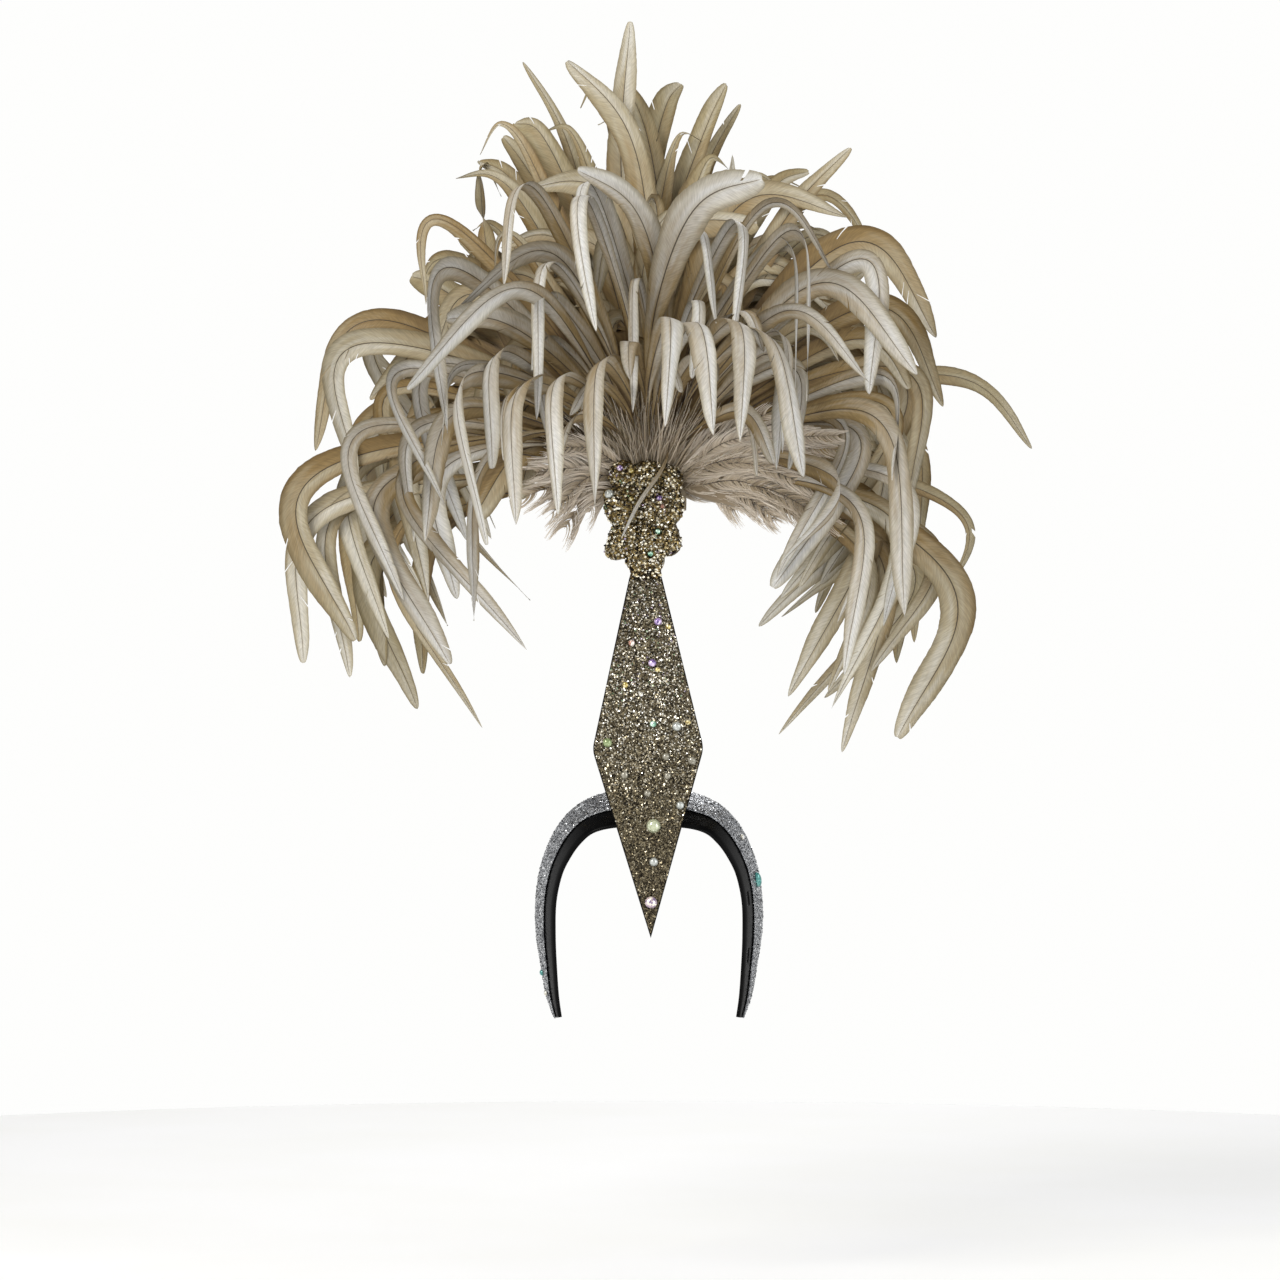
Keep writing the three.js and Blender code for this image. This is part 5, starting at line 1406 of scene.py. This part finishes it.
def fill_feather(row, index):
    """A feather that fills its row, as in the solids."""
    seed = row["order"] * 100 + index
    angle = FAN_START + FAN_SWEEP * (index + scatter(seed, 0)) / row["fill"]
    side = -1 if angle < 90 else 1
    sideways = abs(math.cos(math.radians(angle)))
    hang = side * (LEAST_HANG + (MOST_HANG - LEAST_HANG) * sideways * scatter(seed, 1))
    depth = mix(row["shallow"], row["deep"], scatter(seed, 2))
    shorter = (1 - FORESHORTENING * abs(depth)) * mix(SHORTEST, LONGEST, scatter(seed, 3))
    peak_x, peak_z = around(angle, outline_reach(angle) * shorter * PEAK_SHARE)
    tip_x, tip_z = around(angle + hang, outline_reach(angle + hang) * shorter)
    return {
        "peakX": peak_x, "peakZ": peak_z, "tipX": tip_x, "tipZ": tip_z, "bow": FILL_BOW, "depth": depth,
        "width": mix(NARROWEST, WIDEST, scatter(seed, 4)), "pale": mix(*row["pale"], scatter(seed, 5)),
    }


def droop_feather(row, index, droop, side):
    """A feather that droops at one end of its row, as in the solids."""
    _, angle, share, hang, depth = droop
    seed = row["order"] * 100 + index
    peak_x, peak_z = around(angle, share * outline_reach(angle if side > 0 else 180 - angle))
    return {
        "peakX": side * peak_x, "peakZ": peak_z, "tipX": side * peak_x * DROOP_OUT, "tipZ": peak_z - hang,
        "bow": 2 * FILL_BOW, "depth": depth, "width": mix(NARROWEST, WIDEST, scatter(seed, side)),
        "pale": mix(*row["pale"], scatter(seed, 6 + side)),
    }


def bunch_feathers(bunch, random):
    """The feathers of a bunch, spread evenly with some scatter."""
    made = []
    for index in range(bunch["count"]):
        angle = mix(*bunch["angle"], (index + random.random()) / bunch["count"])
        reach = outline_reach(angle) * random.uniform(*bunch["reach"])
        depth = random.uniform(*bunch["depth"])
        out = random.uniform(*bunch["out"])
        peak_x, peak_z = around(angle, reach)
        side = 1 if angle < 90 else -1
        sideways = abs(math.cos(math.radians(angle)))
        made.append({
            "peakX": peak_x, "peakZ": peak_z, "depth": depth,
            "tipX": peak_x + side * out * (0.4 + 0.6 * sideways),
            "tipZ": peak_z + out * (1 - sideways) - random.uniform(*bunch["drop"]),
            "bow": 0.06 + 0.1 * sideways * random.random(),
            "width": random.uniform(*bunch["width"]), "pale": random.uniform(*bunch["pale"]),
        })
    return made


def backing_pad(heap, order):
    """The felt pad that a row is sewn to: rounded edges and a soft front."""
    steps, rounded = 12, 0.14
    across, up = np.meshgrid(np.linspace(-1, 1, steps), np.linspace(-1, 1, steps), indexing="ij")
    round_off = np.clip(np.maximum(np.abs(across), np.abs(up)) - (1 - rounded), 0, 1) / rounded
    faces = grid_faces(steps, steps)
    for side in (-1, 1):
        y = backing_middle(order) + side * BACKING_WALL / 2 * (1 - round_off ** 2)
        local = np.stack([across * BACKING_WIDTH / 2, y, HUB_UP + up * BACKING_HEIGHT / 2], axis=-1)
        heap.add(crest_to_world(local, roll=False), faces if side > 0 else faces[:, ::-1], look=FELT_LOOK)


def plume_row(name):
    random = np.random.default_rng(ROW_SEEDS[name])
    row = ROWS[name]
    heap = Heap()
    shown = [feather for feather in FEATHERS if feather["row"] == name]
    shown += [fill_feather(row, index) for index in range(row["fill"])]
    droops = [droop for droop in DROOPS if droop[0] == name]
    shown += [droop_feather(row, index, droop, side)
              for index, droop in enumerate(droops) for side in (-1, 1)]
    between = [f for bunch in BUNCHES if bunch["row"] == name for f in bunch_feathers(bunch, random)]
    for feathers, fineness in ((shown, SHOWN), (between, BETWEEN)):
        for feather in feathers:
            add_feather(heap, stem_controls(feather, row["order"]), BLADE_WIDTH * feather["width"],
                        feather["pale"], random, FULLEST[name], **fineness)
    backing_pad(heap, row["order"])
    piece = f"plume_{name}_feathers"
    add_piece(piece, heap.mesh(piece), [VANES[name], QUILL, FELT], [f"plume_{name}"])


# Down

def add_strands(heap, starts, ends, bends, random, pale, frizz, widths):
    """Soft loose barbs: thin strips from a start to an end, each with its own bend and curl."""
    count, steps = len(starts), 6
    width = random.uniform(*widths, count)
    shares = np.linspace(0, 1, steps)[None, :, None]
    line = starts[:, None] + (ends - starts)[:, None] * shares
    line = line + bends[:, None] * (4 * shares * (1 - shares))
    curl = random.normal(0, 1, (count, 1, 3)) * np.linalg.norm(ends - starts, axis=1)[:, None, None]
    line = line + curl * frizz * shares ** 2
    run = unit(np.gradient(line, axis=1))
    side = unit(np.cross(run, random.normal(0, 1, (count, 1, 3)) + [0, 1.5, 0]))
    thin = width[:, None, None] * (1 - 0.8 * shares)
    points = np.stack([line - side * thin / 2, line + side * thin / 2], axis=2)
    near = (np.arange(count) * steps * 2)[:, None] + (np.arange(steps - 1) * 2)[None, :]
    quads = np.stack([near, near + 1, near + 3, near + 2], axis=-1).reshape(-1, 4)
    each = pale + 0.5 * random.random(count)
    heap.add(points, quads, along=np.tile(np.repeat(shares.ravel(), 2), count),
             pale=np.repeat(each, steps * 2))


def add_hackle(heap, controls, width, random, pale):
    """A soft hackle: a thin dark quill with loose barbs that sweep out from it and droop."""
    path = stem_points(controls, np.linspace(0, 1, 40))
    travel = lengths_along(path)
    length = travel[-1]
    runs = unit(np.gradient(path, travel, axis=0))
    across = carried(runs)
    count = int(HACKLE_BARBS * length / DOWN_REACH)
    at = random.uniform(0.02, 0.97, count)
    side = random.choice([-1.0, 1.0], count)
    fullness = np.sin(np.clip(at * 0.8 + 0.14, 0, 1) * math.pi) ** 0.6
    reach = (width / 2 * fullness * random.uniform(0.75, 1.2, count))[:, None]
    starts, ahead, beside = (at_lengths(values, travel, at * length) for values in (path, runs, across))
    beside = beside * side[:, None]
    sink = np.stack([np.zeros(count), random.normal(0, 0.12, count), np.full(count, -0.22)], axis=-1)
    ends = starts + (ahead * 2.3 + beside * 0.85 + sink) * reach
    bends = (ahead * -0.3 + beside * 0.2) * reach
    add_strands(heap, starts, ends, bends, random, pale, HACKLE_FRIZZ, (0.7 * MM, 1.5 * MM))
    thick = np.linspace(0.5, 0.15, len(path)) * MM
    shaft = tube(path, across, np.cross(runs, across), QUILL_SIDES, thick, thick)
    heap.add(shaft, ring_faces(len(path), QUILL_SIDES), look=QUILL_LOOK,
             along=np.repeat(np.linspace(0, 1, len(path)), QUILL_SIDES), pale=0)


def add_lock(heap, angle, full, random):
    """A lock of down: a core that fills it, and hackles swept along it."""
    turn = math.radians(angle)
    reach = full * DOWN_REACH
    end = math.copysign(1, math.cos(turn)) * ROOT_SPREAD * BACKING_WIDTH / 2
    root = leaning(end, backing_middle(0), HUB_UP)
    sweep = np.array([math.cos(turn), -DOWN_FORWARD, math.sin(turn)]) * reach
    controls = [root, root + sweep * 0.55 + np.array([0, 0, 0.1 * reach]), root + sweep]
    shares, fullness = np.array(LOCK_PROFILE).T
    spine = stem_points(controls, shares * CORE_LENGTH)
    run = unit(np.gradient(spine, axis=0))
    across = unit(np.stack([run[:, 2], 0 * run[:, 2], -run[:, 0]], axis=-1))
    core = tube(spine, across, np.cross(run, across), CORE_SIDES,
                DOWN_WIDTH * 0.4 * fullness, DOWN_THICKNESS * 0.35 * fullness)
    heap.add(core, ring_faces(len(core), CORE_SIDES), along=np.repeat(shares * 0.3, CORE_SIDES), pale=0.0)
    for _ in range(int(HACKLES_PER_LOCK * full)):
        start = root + random.normal(0, 1, 3) * [5 * MM, 2 * MM, 4 * MM]
        tilt = np.clip(random.normal(0, 0.13), -0.16, 0.2)
        swung = np.array([sweep[0] * math.cos(tilt) - sweep[2] * math.sin(tilt),
                          sweep[1] - random.uniform(0.0, 0.1) * reach,
                          sweep[0] * math.sin(tilt) + sweep[2] * math.cos(tilt)])
        swung = swung * random.uniform(0.6, 1.06)
        lift = np.array([0, -0.03 * reach, random.uniform(0.06, 0.16) * reach])
        curve = [start, start + swung * 0.5 + lift, start + swung]
        add_hackle(heap, curve, random.uniform(*HACKLE_WIDTH), random, random.uniform(0.0, 0.9))


def add_tufts(heap, random):
    """Loose down at the feathers' roots, over the fronts of the three backings."""
    right = random.uniform(-1, 1, TUFTS) * BACKING_WIDTH / 2
    order = random.integers(0, 3, TUFTS)
    heights = HUB_UP + random.uniform(-0.1, 0.5, TUFTS) * BACKING_HEIGHT
    starts = np.array([leaning(x, backing_middle(o) - BACKING_WALL / 2, z)
                       for x, o, z in zip(right, order, heights)])
    fan = np.radians(90 - right / BACKING_WIDTH * TUFT_FAN + random.normal(0, 14, TUFTS))
    reach = random.uniform(*TUFT_REACH, TUFTS)
    forward = random.normal(-0.12, 0.12, TUFTS)
    ends = starts + np.stack([np.cos(fan), forward, np.sin(fan)], -1) * reach[:, None]
    bends = random.normal(0, 2.5 * MM, (TUFTS, 3))
    add_strands(heap, starts, ends, bends, random, -0.15, TUFT_FRIZZ, (0.6 * MM, 1.7 * MM))


def down():
    """Soft hackle and down beside the medallion."""
    random = np.random.default_rng(DOWN_SEED)
    heap = Heap()
    for angle, full in DOWN:
        add_lock(heap, angle, full, random)
    add_tufts(heap, random)
    add_piece("plume_down", heap.mesh("plume_down"), [DOWN_LOOK, QUILL])


def stray_quill():
    """A stripped quill that lies over the medallion, out of the front row, its shaft as pale as a vane."""
    heap = Heap()
    controls = [leaning(right * MM, back * MM, HUB_UP + up * MM) for right, back, up in STRAY_QUILL]
    add_feather(heap, controls, STRAY_QUILL_WIDTH, 1.0, np.random.default_rng(QUILL_SEED), FULLEST["back"],
                SHOWN["pitch"], columns=3, curl=(0, 0))
    add_piece("stray_quill", heap.mesh("stray_quill"), [VANES["front"], VANES["front"]])


# Studio

def camera():
    data = bpy.data.cameras.new("portrait_camera")
    data.sensor_width = SENSOR_MM
    data.sensor_fit = "HORIZONTAL"
    data.lens = SENSOR_MM * CAMERA_DISTANCE / PHOTO_HEIGHT
    data.clip_end = 60
    made = new_object("portrait_camera", data)
    made.location = PHOTO_CENTRE + [0, -CAMERA_DISTANCE, 0]
    made.rotation_euler = (math.radians(90), 0, 0)
    bpy.context.scene.camera = made


def softbox(name, place, target, size, power, colour):
    data = bpy.data.lights.new(name, "AREA")
    data.shape = "RECTANGLE"
    data.size, data.size_y = size
    data.energy = power
    data.color = linear(colour)[:3]
    made = new_object(name, data)
    made.location = place
    made.rotation_euler = (Vector(target) - Vector(place)).to_track_quat("-Z", "Y").to_euler()


def floor():
    heap = Heap()
    rings, sides = 6, 96
    discs = turned([(radius, FLOOR_HEIGHT) for radius in np.linspace(0.01, FLOOR_RADIUS, rings)], sides)
    heap.add(discs, ring_faces(rings, sides))
    heap.add(discs[0], np.arange(sides).reshape(1, -1))
    mesh = heap.mesh("studio_floor")
    mesh.materials.append(studio_white())
    new_object("studio_floor", mesh)


def air():
    world = bpy.data.worlds.new("studio_air")
    bpy.context.scene.world = world
    world.use_nodes = True
    place = node(world, "ShaderNodeTexCoord")
    split = node(world, "ShaderNodeSeparateXYZ", Vector=place.outputs["Generated"])
    tones = node(world, "ShaderNodeValToRGB", Fac=split.outputs["Z"])
    for element, (height, light) in zip(tones.color_ramp.elements, AIR):
        element.position = height
        element.color = light
    connect(world, world.node_tree.nodes["Background"], Color=tones, Strength=1.0)


def studio():
    camera()
    floor()
    for lamp in SOFTBOXES:
        softbox(*lamp)
    air()
    bpy.context.scene.view_settings.view_transform = "Standard"


studio()
band()
crest()
medallion()
stones()
for row_name in ROWS:
    plume_row(row_name)
down()
stray_quill()
